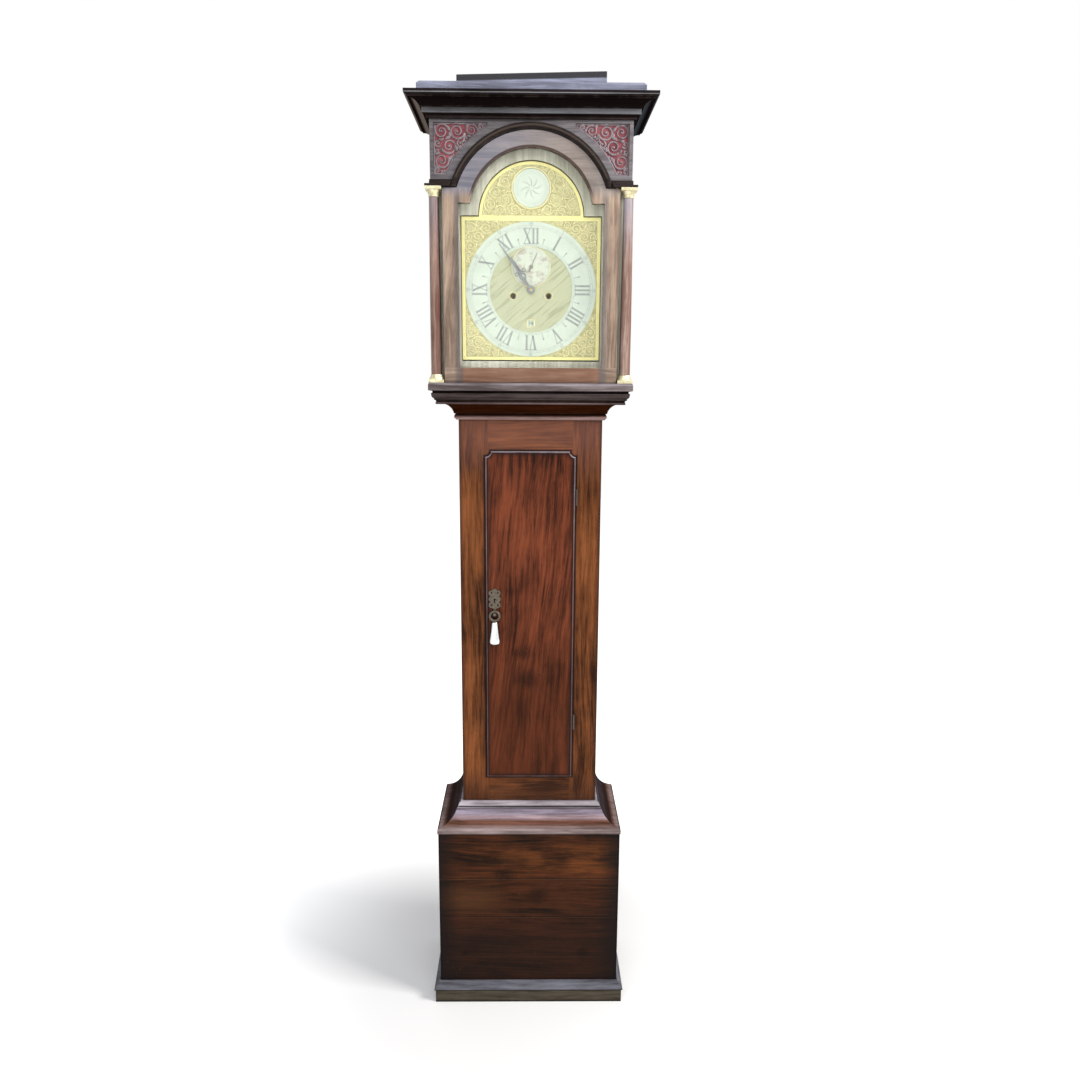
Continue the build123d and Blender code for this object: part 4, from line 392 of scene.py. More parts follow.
def banded(low, high, bands, edge=0.0007):
    """Painted light and shade of a moulding's faces, with its wood's colour, in level bands. bands are (start
    height, colour) from low upwards.
    """

    def tint(g, point):
        inputs = {"Value": g.parts(point)["Z"], "From Min": low, "From Max": high}
        share = g.node("ShaderNodeMapRange", inputs).outputs["Result"]
        ramp = g.node("ShaderNodeValToRGB", {"Fac": share})
        stops = ramp.color_ramp.elements
        stops[0].position, stops[0].color = 0.0, rgba(bands[0][1])
        stops[1].position, stops[1].color = 1.0, rgba(bands[-1][1])
        for (_, before), (start, after) in zip(bands, bands[1:]):
            for place, colour in ((start - edge, before), (start + edge, after)):
                stops.new((place - low) / (high - low)).color = rgba(colour)
        return ramp.outputs["Color"]

    return tint


# Layers: each changes the colour below it at a point of the piece


def on_sides(left, right):
    """Painted light and shade on the faces at the two sides: the left ones lit, the right ones shaded."""

    def layer(g, point, below):
        across = g.facing()["X"]
        colour = g.mix(g.steps(across, -0.05, 0.05), rgba(left), rgba(right))
        return g.mix(g.steps(g.abs(across), 0.15, 0.45), below, g.mix(0.92, below, colour))

    return layer


def bloomed(colour, amount, start, end):
    """Dust, and a painted reflection of the sky, on the faces that look up."""

    def layer(g, point, below):
        up = g.steps(g.facing()["Z"], start, end)
        patchy = g.add(0.65, g.mul(g.noise(point, 40, 3), 0.6), clamp=True)
        return g.mix(g.mul(g.mul(up, patchy), amount), below, rgba(colour))

    return layer


def sooted(colour, amount):
    """Painted shade on the faces that look down."""

    def layer(g, point, below):
        return g.mix(g.mul(g.steps(g.facing()["Z"], -0.12, -0.5), amount), below, rgba(colour))

    return layer


def knotted(knots):
    """Dark knots, each (x, z, size) on the front."""

    def layer(g, point, colour):
        for x, z, size in knots:
            wobble = g.add(g.away(point, x, z, 1.3), g.mul(g.noise(point, 75, 3), 0.014))
            knot = g.flip(g.steps(wobble, 0.4 * size, 1.5 * size))
            rings = g.steps(g.math("SINE", g.mul(wobble, 900.0)), 0.0, 1.0)
            shade = g.mul(knot, g.add(0.5, g.mul(rings, 0.4)))
            colour = g.mix(g.mul(shade, 0.9), colour, (0.006, 0.003, 0.002, 1))
        return colour

    return layer


def cornered(half, colour, amount, start):
    """A darker front towards a panel's upright edges, from a share of its half width outwards."""

    def layer(g, point, below):
        side = g.abs(g.parts(point)["X"])
        front = g.steps(g.facing()["Y"], -0.5, -0.9)
        return g.mix(g.mul(g.mul(g.steps(side, start * half, half), front), amount), below, rgba(colour))

    return layer


def shaded_between(low, high, colour, amount):
    """Painted light and shade by height: a change to a colour from one height down or up to another."""

    def layer(g, point, below):
        uneven = g.mul(g.sub(g.noise(point, 14, 3), 0.5), 0.35 * (high - low))
        patchy = g.add(g.parts(point)["Z"], uneven)
        return g.mix(g.mul(g.steps(patchy, low, high), amount), below, rgba(colour))

    return layer


def base_boards(g, point, colour):
    """Level boards of the base with open joints, a painted highlight along the edge above each joint, and two
    paler places.
    """
    parts = g.parts(point)
    height, across = parts["Z"], parts["X"]
    golden = g.mul(g.between(height, 0.352, 0.425, 0.018), g.steps(across, -0.16, 0.04))
    golden = g.mul(golden, g.steps(g.noise(g.stretched(point, (1, 1, 2.4)), 11, 3), 0.36, 0.6))
    colour = g.mix(golden, colour, g.mix(0.4, g.times(colour, (2.6, 2.3, 1.9)), (0.10, 0.036, 0.009, 1)))
    amber = g.mul(g.between(height, 0.25, 0.31, 0.02), g.steps(across, -0.04, -0.12))
    colour = g.mix(g.mul(amber, 0.5), colour, (0.11, 0.045, 0.016, 1))
    for joint, depth in ((0.336, 0.6), (0.231, 0.75), (0.121, 0.5)):
        open_joint = g.between(height, joint, joint + 0.0020)
        colour = g.mix(g.mul(open_joint, depth), colour, (0.003, 0.002, 0.002, 1))
        # Painted highlight on the board's edge just above the joint.
        lit = g.between(height, joint - 0.0016, joint - 0.0002)
        colour = g.mix(g.mul(lit, 0.3), colour, (0.17, 0.09, 0.05, 1))
    return colour


def capped(g, point, below):
    """A dark line along the top edge of the cap board, whose top isn't level."""
    parts = g.parts(point)
    level = g.sub(parts["Z"], g.mul(parts["X"], 0.02885))
    return g.mix(g.steps(level, 2.1625, 2.1655), below, (0.045, 0.045, 0.05, 1))


def rubbed_ring(g, point, below):
    """A painted highlight along the raised middle of the arch moulding."""
    middle = g.between(g.away(point, 0, HOOD_ARCH_HEIGHT), 0.1738, 0.1775)
    above = g.steps(g.parts(point)["Z"], 1.972, 1.976)
    return g.mix(g.mul(g.mul(middle, above), 0.8), below, (0.065, 0.048, 0.036, 1))


def column_shade(g, point, below):
    """Painted light and shade: the right of each column is darker and redder than its left, and the right
    column is the paler one.
    """
    across = g.parts(point)["X"]
    paler = g.mix(g.steps(across, -0.05, 0.05), (0.82, 0.82, 0.78, 1), (1.28, 1.45, 1.45, 1))
    below = g.mix(1.0, below, paler, "MULTIPLY")
    from_axis = g.sub(across, g.mul(g.math("SIGN", across), 0.209))
    redder = g.mix(0.75, below, (0.085, 0.026, 0.018, 1))
    return g.mix(g.mul(g.steps(from_axis, -0.003, 0.009), 0.8), below, redder)


def inside_lip(g, point):
    """How far a place on the trunk's front lies inside the door's edge, with its hollowed top corners."""
    parts = g.parts(point)
    side = g.sub(0.105, g.abs(parts["X"]))
    foot = g.sub(parts["Z"], 0.583)
    top = g.sub(1.391, parts["Z"])
    corner = g.math("SQRT", g.add(g.mul(side, side), g.mul(top, top)))
    return g.math("MINIMUM", g.math("MINIMUM", side, foot), g.math("MINIMUM", top, g.sub(corner, 0.013)))


def lip_lines(g, point, below):
    """A painted highlight on the bead round the trunk door, patchy where it is worn and stronger higher up,
    with painted shade in the quirk inside it and along the door's edge.
    """
    inward = inside_lip(g, point)
    # Painted shade: soft along the inside of the door's edge, deep in the quirk.
    painted_edge_shade = g.mul(g.flip(g.steps(inward, 0.004, 0.017)), 0.55)
    colour = g.mix(painted_edge_shade, below, (0.018, 0.008, 0.007, 1))
    colour = g.mix(g.mul(g.between(inward, 0.0042, 0.0066), 0.7), colour, (0.008, 0.005, 0.005, 1))
    # Painted highlight on the bead, patchy where it is worn and stronger higher up.
    worn = g.steps(g.noise(g.stretched(point, (1, 1, 0.4)), 30, 3), 0.36, 0.6)
    high = g.steps(g.parts(point)["Z"], 0.9, 1.35)
    strength = g.mul(g.add(0.35, g.mul(worn, 0.35)), g.add(0.6, g.mul(high, 0.5)))
    return g.mix(g.mul(g.between(inward, 0.0012, 0.0032), strength), colour, (0.24, 0.20, 0.22, 1))


def lip_shadow(g, point, below):
    """The dark line on the frame round the trunk door."""
    near = g.steps(inside_lip(g, point), -0.0065, -0.0020)
    return g.mix(g.mul(near, 0.9), below, (0.007, 0.005, 0.005, 1))


def door_bloom(g, point, below):
    """The hood door's red bottom rail and its darker inner edges, a painted reflection of the sky on its
    arched head, a darker ring inside the arch, and painted light on its right stile.
    """
    parts = g.parts(point)
    across, height = parts["X"], parts["Z"]
    rail = g.mul(door_rail_mask(g, point), g.flip(g.steps(g.abs(across), 0.152, 0.158)))
    colour = g.mix(g.mul(rail, 0.8), below, g.mix(0.78, below, (0.20, 0.080, 0.045, 1)))
    edge = g.mul(g.between(g.abs(across), 0.150, 0.166, 0.006), g.flip(g.steps(height, 1.93, 1.96)))
    colour = g.mix(g.mul(edge, 0.6), colour, (0.085, 0.085, 0.095, 1))
    # Painted reflection of the sky on the arched head, bluer towards the left.
    head = g.steps(height, 1.93, 1.955)
    sky_reflection = g.mix(g.steps(across, -0.10, 0.10), (0.15, 0.19, 0.265, 1), (0.185, 0.175, 0.165, 1))
    colour = g.mix(g.mul(head, 0.8), colour, g.mix(0.3, sky_reflection, g.times(below, (1.1, 1.2, 1.5))))
    rim = g.mul(g.flip(g.steps(g.away(point, 0, HOOD_ARCH_HEIGHT), 0.1365, 0.1385)), head)
    colour = g.mix(g.mul(rim, 0.9), colour, (0.055, 0.03, 0.022, 1))
    # Painted light: the right stile is lighter.
    return g.mix(g.steps(across, 0.13, 0.15), colour, g.times(colour, (1.24, 1.27, 1.28)))


# Masks of the places whose grain runs across


def rails_mask(g, point):
    """The rails of the trunk's front, between its stiles."""
    return g.flip(g.steps(g.abs(g.parts(point)["X"]), 0.0985, 0.0995))


def door_rail_mask(g, point):
    """The bottom rail of the hood door."""
    return g.flip(g.steps(g.parts(point)["Z"], 1.5785, 1.5795))


def door_across_mask(g, point):
    """The bottom rail and the arched head of the hood door."""
    return g.add(door_rail_mask(g, point), g.steps(g.parts(point)["Z"], 1.9545, 1.9555), clamp=True)


# Metal, glass and cloth


def tarnished(g, clean, dull, amount, scale, gloss):
    return placed_group(
        g,
        tarnish_group,
        {"Clean": rgba(clean), "Dull": rgba(dull), "Amount": amount, "Scale": float(scale), "Gloss": gloss},
    )


def metal_material(name, clean, dull, amount=0.5, scale=60, gloss=0.3, metallic=1.0):
    material, g, shader = new_material(name)
    tarnish = tarnished(g, clean, dull, amount, scale, gloss)
    g.fill(
        shader,
        {
            "Base Color": tarnish["Color"],
            "Roughness": tarnish["Roughness"],
            "Metallic": metallic,
            "Normal": g.bump(0.1, 0.0001, tarnish["Height"]),
        },
    )
    return material


def dial_plate_material():
    """Brass that is matted inside the chapter ring, polished outside it and dull under the castings, with
    painted reflections of the glass in diagonal streaks over the matting.
    """
    colours = bpy.context.scene.clock_colours
    material, g, shader = new_material("dial_plate_brass")
    point = g.object_point()
    inside = g.flip(g.steps(g.away(point, 0, CENTRE_HEIGHT), 0.0925, 0.0935))
    cells = g.node("ShaderNodeTexVoronoi", {"Vector": point, "Scale": 900.0}, feature="F1")
    punched = cells.outputs["Distance"]
    tarnish = tarnished(g, colours.brass, (0.72, 0.64, 0.27), 0.3, 40, 0.35)
    hollows = rgba(0.85 * part for part in colours.matting)
    matted = g.mix(g.steps(punched, 0.1, 0.6), hollows, rgba(colours.matting))
    # Painted reflection of the glass: diagonal streaks darken the matting.
    glass_reflection = g.steps(g.noise(g.stretched(g.leant(point, 40), (0.07, 1, 1)), 130, 3, 0.6), 0.52, 0.62)
    matted = g.mix(g.mul(glass_reflection, 0.6), matted, (0.34, 0.35, 0.22, 1))
    parts = g.parts(point)
    square = g.flip(g.steps(g.abs(parts["X"]), 0.1445, 0.1455))
    square = g.mul(square, g.between(parts["Z"], CENTRE_HEIGHT - 0.1450, CENTRE_HEIGHT + 0.1455))
    arch = g.flip(g.steps(g.away(point, 0, ARCH_HEIGHT), 0.1070, 0.1080))
    arch = g.mul(arch, g.steps(parts["Z"], ARCH_HEIGHT + 0.002, ARCH_HEIGHT + 0.003))
    ground = g.mul(g.math("MAXIMUM", square, arch), 0.9)
    cast = g.mix(g.steps(g.noise(point, 160, 3), 0.4, 0.6), (0.42, 0.40, 0.20, 1), (0.58, 0.56, 0.30, 1))
    g.fill(
        shader,
        {
            "Base Color": g.mix(inside, g.mix(ground, tarnish["Color"], cast), matted),
            "Roughness": g.add(tarnish["Roughness"], g.mul(inside, 0.3), clamp=True),
            "Metallic": 0.15,
            "Normal": g.bump(0.35, 0.0002, g.mul(punched, inside)),
        },
    )
    return material


def silvered_material():
    """Silvered brass, pinker and more stained where the seconds ring shows its brass."""
    silvered = bpy.context.scene.clock_colours.silvered
    material, g, shader = new_material("silvered")
    point = g.object_point()
    tarnish = tarnished(g, silvered, [0.84 * part for part in silvered], 0.35, 26, 0.42)
    inside = g.flip(g.steps(g.away(point, 0, SECONDS_HEIGHT), 0.0425, 0.0435))
    stains = g.steps(g.noise(point, 60, 4, 0.7), 0.48, 0.62)
    stained = g.mix(stains, (0.62, 0.67, 0.56, 1), (0.50, 0.46, 0.38, 1))
    colour = g.mix(inside, tarnish["Color"], stained)
    g.fill(shader, {"Base Color": colour, "Roughness": tarnish["Roughness"], "Metallic": 0.1})
    return material


def barrel_material():
    """A brass drum on a steel winding arbor, whose square is dark with oil."""
    material, g, shader = new_material("barrel")
    tarnish = tarnished(g, (0.74, 0.55, 0.22), (0.34, 0.22, 0.08), 0.5, 60, 0.3)
    arbor = g.steps(g.parts(g.object_point())["Y"], DIAL_FACE + 0.028, DIAL_FACE + 0.026)
    colour = g.mix(arbor, tarnish["Color"], (0.05, 0.045, 0.035, 1))
    g.fill(shader, {"Base Color": colour, "Roughness": tarnish["Roughness"], "Metallic": 0.9})
    return material


def casting_material():
    """Rough cast and lacquered brass, darker in the ground of the pattern."""
    material, g, shader = new_material("cast_spandrels")
    pits = g.noise(g.object_point(), 420, 4, 0.7)
    colour = g.mix(g.crevice(0.003, 0.35, 0.95, 8), (0.90, 0.84, 0.50, 1), (0.44, 0.38, 0.16, 1))
    colour = g.mix(g.mul(g.steps(pits, 0.45, 0.65), 0.4), colour, (0.60, 0.53, 0.26, 1))
    bump = g.bump(0.6, 0.0004, pits)
    g.fill(shader, {"Base Color": colour, "Metallic": 0.2, "Roughness": 0.42, "Normal": bump})
    return material


def glass_material():
    """Old crown glass with faint waves."""
    material, g, shader = new_material("old_glass")
    wave = g.noise(g.stretched(g.object_point(), (1, 1, 0.6)), 9, 2)
    g.fill(
        shader,
        {
            "Base Color": (0.985, 0.99, 0.975, 1),
            "Roughness": 0.01,
            "Metallic": 0.0,
            "Transmission Weight": 1.0,
            "IOR": 1.2,
            "Normal": g.bump(0.06, 0.002, wave),
        },
    )
    return material


def threads(g, point, scale, distortion, direction):
    inputs = {"Vector": point, "Scale": scale, "Distortion": distortion}
    return g.node("ShaderNodeTexWave", inputs, bands_direction=direction).outputs["Fac"]


def silk_material():
    """Faded red silk with its weave."""
    material, g, shader = new_material("faded_silk")
    point = g.object_point()
    weave = g.mul(threads(g, point, 420.0, 0.6, "X"), threads(g, point, 420.0, 0.6, "Z"))
    fade = g.steps(g.noise(point, 30, 4), 0.35, 0.65)
    colour = g.mix(fade, rgba(bpy.context.scene.clock_colours.silk), (0.30, 0.075, 0.085, 1))
    colour = g.mix(g.mul(weave, 0.25), colour, (0.15, 0.03, 0.03, 1))
    bump = g.bump(0.2, 0.0002, weave)
    g.fill(shader, {"Base Color": colour, "Roughness": 0.7, "Sheen Weight": 0.3, "Normal": bump})
    return material


def gut_material():
    """Twisted gut with a waxy look."""
    material, g, shader = new_material("gut")
    twist = threads(g, g.object_point(), 260.0, 1.0, "DIAGONAL")
    colour = g.mix(twist, (0.32, 0.2, 0.07, 1), (0.5, 0.34, 0.14, 1))
    g.fill(shader, {"Base Color": colour, "Roughness": 0.4, "Normal": g.bump(0.4, 0.0002, twist)})
    return material


MADE_ALONE = {
    "barrel": barrel_material,
    "silvered": silvered_material,
    "casting": casting_material,
    "dial_brass": dial_plate_material,
    "glass": glass_material,
    "silk": silk_material,
    "gut": gut_material,
}


def metals():
    """Each metal's clean and dull colour with its other settings, and two waxes made the same way."""
    wax = bpy.context.scene.clock_colours.engraving
    return {
        "brass": ((0.74, 0.55, 0.22), (0.34, 0.22, 0.08), {"gloss": 0.28}),
        "old_brass": ((0.060, 0.042, 0.030), (0.022, 0.014, 0.010), {"gloss": 0.5, "metallic": 0.2}),
        "capital_brass": (
            (0.80, 0.74, 0.48), (0.36, 0.29, 0.14), {"amount": 0.7, "scale": 120, "metallic": 0.4}
        ),
        "blued_steel": ((0.10, 0.11, 0.13), (0.05, 0.05, 0.06), {}),
        "hand_steel": ((0.33, 0.35, 0.35), (0.20, 0.21, 0.22), {"gloss": 0.45, "metallic": 0.2}),
        "steel": ((0.5, 0.5, 0.5), (0.26, 0.24, 0.22), {"gloss": 0.35}),
        "bell_metal": ((0.76, 0.66, 0.42), (0.4, 0.32, 0.18), {"gloss": 0.25}),
        "pewter": (
            (0.11, 0.09, 0.062),
            (0.035, 0.028, 0.020),
            {"amount": 0.6, "scale": 220, "gloss": 0.4, "metallic": 0.4},
        ),
        "bright_drop": ((0.72, 0.76, 0.76), (0.42, 0.42, 0.40), {"amount": 0.45, "scale": 70, "gloss": 0.22}),
        "wax": (wax, [0.7 * part for part in wax], {"gloss": 0.6, "metallic": 0.0}),
        "pale_wax": ((0.55, 0.60, 0.50), (0.46, 0.50, 0.42), {"gloss": 0.6, "metallic": 0.0}),
    }


def woods():
    """Each wood's settings."""
    c = bpy.context.scene.clock_colours
    return {
        "trunk_wood": {"dark": c.wood_dark, "light": c.wood_light},
        "frame_wood": {
            "dark": (0.026, 0.008, 0.003),
            "light": (0.245, 0.080, 0.026),
            "mask": rails_mask,
            "layers": (
                shaded_between(1.30, 1.46, (0.24, 0.105, 0.080), 0.45),
                shaded_between(0.62, 0.52, (0.05, 0.020, 0.011), 0.6),
                cornered(0.165, (0.030, 0.012, 0.008), 0.7, 0.93),
                lip_shadow,
            ),
        },
        "door_wood": {
            "dark": (0.016, 0.005, 0.003),
            "light": (0.205, 0.052, 0.022),
            "gloss": 0.36,
            "lean": -5,
            "layers": (
                shaded_between(1.10, 0.70, (0.055, 0.014, 0.004), 0.55),
                knotted(((-0.017, 0.905, 0.028), (-0.004, 0.838, 0.034))),
                lip_lines,
                bloomed((0.36, 0.33, 0.38), 0.9, 0.2, 0.7),
            ),
        },
        "waist_wood": {
            "along": "X",
            "gloss": 0.3,
            "spec": 0.0,
            "grime_and_shade": 0.9,
            "wear": 0.2,
            "figure": 0.95,
            # Painted light and shade of the waist and throat mouldings' faces in bands, and painted side
            # light.
            "tint": banded(
                0.45,
                1.51,
                (
                    (0.45, (0.05, 0.025, 0.02)), (0.4585, (0.43, 0.34, 0.33)), (0.4725, (0.22, 0.10, 0.07)),
                    (0.481, (0.46, 0.34, 0.37)), (0.488, (0.42, 0.36, 0.45)), (0.5035, (0.10, 0.085, 0.095)),
                    (0.5062, (0.60, 0.55, 0.60)), (0.56, (0.07, 0.02, 0.011)), (1.4632, (0.50, 0.33, 0.30)),
                    (1.4705, (0.05, 0.018, 0.011)), (1.4775, (0.05, 0.013, 0.004)),
                    (1.4995, (0.16, 0.12, 0.12)),
                ),
            ),
            "layers": (on_sides((0.031, 0.019, 0.017), (0.015, 0.010, 0.010)),),
        },
        "sill_wood": {
            "along": "X",
            "gloss": 0.26,
            "spec": 0.0,
            "figure": 1.2,
            # Painted light and shade of the sill's faces in bands, and painted side light.
            "tint": banded(
                1.50,
                1.55,
                (
                    (1.50, (0.03, 0.02, 0.018)), (1.5095, (0.085, 0.065, 0.062)),
                    (1.5235, (0.02, 0.015, 0.016)), (1.5288, (0.24, 0.20, 0.20)),
                    (1.541, (0.34, 0.30, 0.32)),
                ),
            ),
            "layers": (on_sides((0.04, 0.03, 0.03), (0.02, 0.016, 0.017)),),
        },
        "skirting_wood": {
            "along": "X",
            "gloss": 0.36,
            "figure": 1.2,
            # Painted light and shade of the skirting's faces in bands: a blue-grey painted reflection on its
            # top slope and painted shade under it.
            "tint": banded(
                0.0,
                0.06,
                (
                    (0.0, (0.05, 0.04, 0.026)), (0.004, (0.10, 0.082, 0.057)),
                    (0.0325, (0.012, 0.010, 0.010)), (0.0365, (0.165, 0.168, 0.20)),
                ),
            ),
        },
        "base_boards": {
            "dark": (0.010, 0.0045, 0.0025),
            "light": (0.082, 0.025, 0.009),
            "along": "X",
            "gloss": 0.42,
            "wear": 0.35,
            "layers": (
                base_boards,
                shaded_between(0.35, 0.15, (0.010, 0.006, 0.005), 0.68),
                knotted(
                    (
                        (-0.063, 0.350, 0.030), (0.020, 0.290, 0.030),
                        (0.135, 0.132, 0.022), (-0.16, 0.13, 0.016),
                    )
                ),
                cornered(0.223, (0.008, 0.006, 0.006), 0.75, 0.72),
                cornered(0.223, (0.003, 0.003, 0.003), 0.85, 0.965),
            ),
        },
        # The hood's sides, with the painted reflection of the sky held in their colours.
        "hood_wood": {"dark": c.hood_dark, "light": c.hood_light, "gloss": 0.25},
        # Grey painted reflection of the sky over the dark wood of the fascia.
        "fascia_wood": {
            "dark": (0.09, 0.08, 0.083),
            "light": (0.245, 0.225, 0.235),
            "along": "X",
            "gloss": 0.28,
            "grime_and_shade": 0.6,
        },
        # Blue painted reflection of the sky over the wood of the cap board.
        "top_wood": {
            "dark": (0.15, 0.155, 0.20),
            "light": (0.38, 0.40, 0.53),
            "along": "X",
            "gloss": 0.28,
            "layers": (capped,),
        },
        "cornice_wood": {
            "along": "X",
            "gloss": 0.24,
            "spec": 0.0,
            "wear": 0.4,
            # Painted light and shade of the cornice's faces in bands, painted shade on its undersides and
            # painted side light.
            "tint": banded(
                2.09,
                2.135,
                (
                    (2.09, (0.05, 0.035, 0.035)), (2.0975, (0.20, 0.205, 0.22)),
                    (2.1085, (0.02, 0.012, 0.012)), (2.1245, (0.30, 0.30, 0.31)),
                    (2.1285, (0.03, 0.025, 0.028)),
                ),
            ),
            "layers": (
                sooted((0.008, 0.005, 0.005), 0.92), on_sides((0.24, 0.19, 0.16), (0.038, 0.046, 0.056))
            ),
        },
        "arch_wood": {
            "dark": (0.010, 0.007, 0.006),
            "light": (0.035, 0.026, 0.024),
            "along": "X",
            "gloss": 0.22,
            "layers": (rubbed_ring,),
        },
        "column_wood": {
            "dark": (0.22, 0.12, 0.095),
            "light": (0.62, 0.42, 0.36),
            "gloss": 0.22,
            # Painted reflection of the sky on the upper columns, and painted light and shade across them.
            "layers": (shaded_between(1.80, 1.94, (0.36, 0.33, 0.40), 0.6), column_shade),
        },
        "hood_door_wood": {
            "dark": (0.17, 0.115, 0.085),
            "light": (0.47, 0.35, 0.26),
            "gloss": 0.24,
            "mask": door_across_mask,
            "layers": (door_bloom,),
        },
        # Grey-pink painted reflection of the sky over the wood of the frets.
        "fret_wood": {"dark": (0.15, 0.12, 0.13), "light": (0.38, 0.32, 0.34), "gloss": 0.35, "grime_and_shade": 0.5},
        "oak": {"dark": (0.10, 0.055, 0.026), "light": (0.28, 0.17, 0.09), "gloss": 0.7, "wear": 0.2},
        "mask_wood": {
            "dark": (0.46, 0.45, 0.36), "light": (0.74, 0.73, 0.62), "gloss": 0.6, "wear": 0.1, "grime_and_shade": 0.3
        },
    }


MATERIALS = {}


def finish(name):
    """A finish by its name, made on first use."""
    if name not in MATERIALS:
        if name in MADE_ALONE:
            MATERIALS[name] = MADE_ALONE[name]()
        elif name in metals():
            clean, dull, settings = metals()[name]
            MATERIALS[name] = metal_material(name, clean, dull, **settings)
        else:
            MATERIALS[name] = wood_material(name, **woods()[name])
    return MATERIALS[name]


# Mesh building


def finished(name, bm, body, material, smooth=30, replaces=()):
    """Turns a bmesh into a piece that rides on a body."""
    mesh = bpy.data.meshes.new(name)
    bm.to_mesh(mesh)
    bm.free()
    piece = bpy.data.objects.new(name, mesh)
    bpy.context.scene.collection.objects.link(piece)
    mesh.materials.append(finish(material))
    if smooth:
        mesh.polygons.foreach_set("use_smooth", [True] * len(mesh.polygons))
        mesh.set_sharp_from_angle(angle=math.radians(smooth))
    if body:
        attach(piece, body)
    if replaces:
        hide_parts(*replaces)
    return piece


def softened(node, body, material, width=None):
    """A copy of a node with its tessellation cleaned and its worn edges rounded, or left sharp at width 0."""
    bm = bmesh.new()
    bm.from_mesh(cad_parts[node].data)
    bmesh.ops.remove_doubles(bm, verts=bm.verts, dist=2e-6)
    bmesh.ops.dissolve_limit(bm, angle_limit=math.radians(0.4), verts=bm.verts, edges=bm.edges)
    bmesh.ops.triangulate(bm, faces=[face for face in bm.faces if len(face.verts) > 8])
    piece = finished(f"{node}_worn", bm, body, material, replaces=(node,))
    if width != 0:
        rounded = piece.modifiers.new("Edges", "BEVEL")
        rounded.width = width or bpy.context.scene.clock_sizes.edge_radius
        rounded.segments = 2
        rounded.limit_method = "ANGLE"
        rounded.angle_limit = math.radians(50)
        rounded.use_clamp_overlap = True


def turn(degrees):
    """A turn about the axis that runs from the front of the clock to its back."""
    return Matrix.Rotation(math.radians(degrees), 4, "Y")


def scaled(x, y, z):
    return Matrix.Diagonal((x, y, z, 1))


def flattened(y, share):
    """Squeezes depths towards a plane."""
    return Matrix.Translation((0, y, 0)) @ scaled(1, share, 1) @ Matrix.Translation((0, -y, 0))


def bar(bm, x0, z0, x1, z1, width, y0, y1):
    """A flat straight bar between two points of the dial."""
    length = math.hypot(x1 - x0, z1 - z0)
    place = Matrix.Translation(((x0 + x1) / 2, (y0 + y1) / 2, (z0 + z1) / 2))
    slope = Matrix.Rotation(-math.atan2(z1 - z0, x1 - x0), 4, "Y")
    bmesh.ops.create_cube(bm, size=1, matrix=place @ slope @ scaled(length, abs(y1 - y0), width))


def ring(bm, z, inner, outer, y0, y1, steps=96, x=0):
    """A flat ring facing the viewer, spun from a small rectangle."""
    place = Matrix.Translation((x + (inner + outer) / 2, (y0 + y1) / 2, z))
    size = scaled(outer - inner, abs(y1 - y0), 1)
    verts = bmesh.ops.create_grid(bm, x_segments=1, y_segments=1, size=0.5, matrix=place @ size)["verts"]
    edges = list({edge for vert in verts for edge in vert.link_edges})
    faces = list({face for vert in verts for face in vert.link_faces})
    bmesh.ops.spin(
        bm, geom=edges + verts + faces, cent=(x, 0, z), axis=(0, 1, 0), angle=2 * math.pi, steps=steps,
        use_merge=True, use_duplicate=False,
    )


def turned(bm, profile, centre, axis="Z", steps=64):
    """A turned piece: (radius, height) points spun round the axis through centre."""
    rise, direction = ((0, 1), (0, 0, 1)) if axis == "Z" else ((-1, 0), (0, 1, 0))
    verts = [
        bm.verts.new((centre[0] + radius, centre[1] + rise[0] * height, centre[2] + rise[1] * height))
        for radius, height in profile
    ]
    edges = [bm.edges.new(pair) for pair in zip(verts, verts[1:])]
    bmesh.ops.spin(
        bm, geom=verts + edges, cent=centre, axis=direction, angle=2 * math.pi, steps=steps, use_merge=True
    )
    bmesh.ops.remove_doubles(bm, verts=bm.verts, dist=1e-7)
    bmesh.ops.recalc_face_normals(bm, faces=bm.faces)


def add_curve(bm, data, change=None):
    """Adds the mesh of a curve and removes the curve."""
    holder = bpy.data.objects.new("curve", data)
    bpy.context.scene.collection.objects.link(holder)
    mesh = bpy.data.meshes.new_from_object(holder.evaluated_get(bpy.context.evaluated_depsgraph_get()))
    if change:
        mesh.transform(change)
    bm.from_mesh(mesh)
    bpy.data.objects.remove(holder)
    bpy.data.curves.remove(data)
    bpy.data.meshes.remove(mesh)


def curve_mesh(bm, routes, radius, resolution, change=None):
    """Adds bars of round section along routes of points, each point with an optional share of the radius."""
    data = bpy.data.curves.new("route", "CURVE")
    data.dimensions = "3D"
    data.bevel_depth = radius
    data.bevel_resolution = resolution
    data.use_fill_caps = True
    for route in routes:
        spline = data.splines.new("POLY")
        spline.points.add(len(route) - 1)
        for point, given in zip(spline.points, route):
            point.co = (*given[:3], 1)
            point.radius = given[3] if len(given) > 3 else 1.0
    add_curve(bm, data, change)


def figures(bm, text, size, place):
    """Plain figures as flat mesh, centred on a place and facing the viewer."""
    data = bpy.data.curves.new("figures", "FONT")
    data.body = text
    data.size = size
    data.align_x = "CENTER"
    data.align_y = "CENTER"
    data.resolution_u = 3
    data.extrude = 0.00004
    add_curve(bm, data, place @ Matrix.Rotation(math.pi / 2, 4, "X"))


def figure_round(bm, text, size, degrees, radius, y, z, lean=0):
    """Figures at a clockwise angle on a circle about the clock's axis, their foot towards the centre."""
    angle = math.radians(degrees)
    place = Matrix.Translation((radius * math.sin(angle), y, z + radius * math.cos(angle)))
    figures(bm, text, size, place @ turn(degrees + lean))


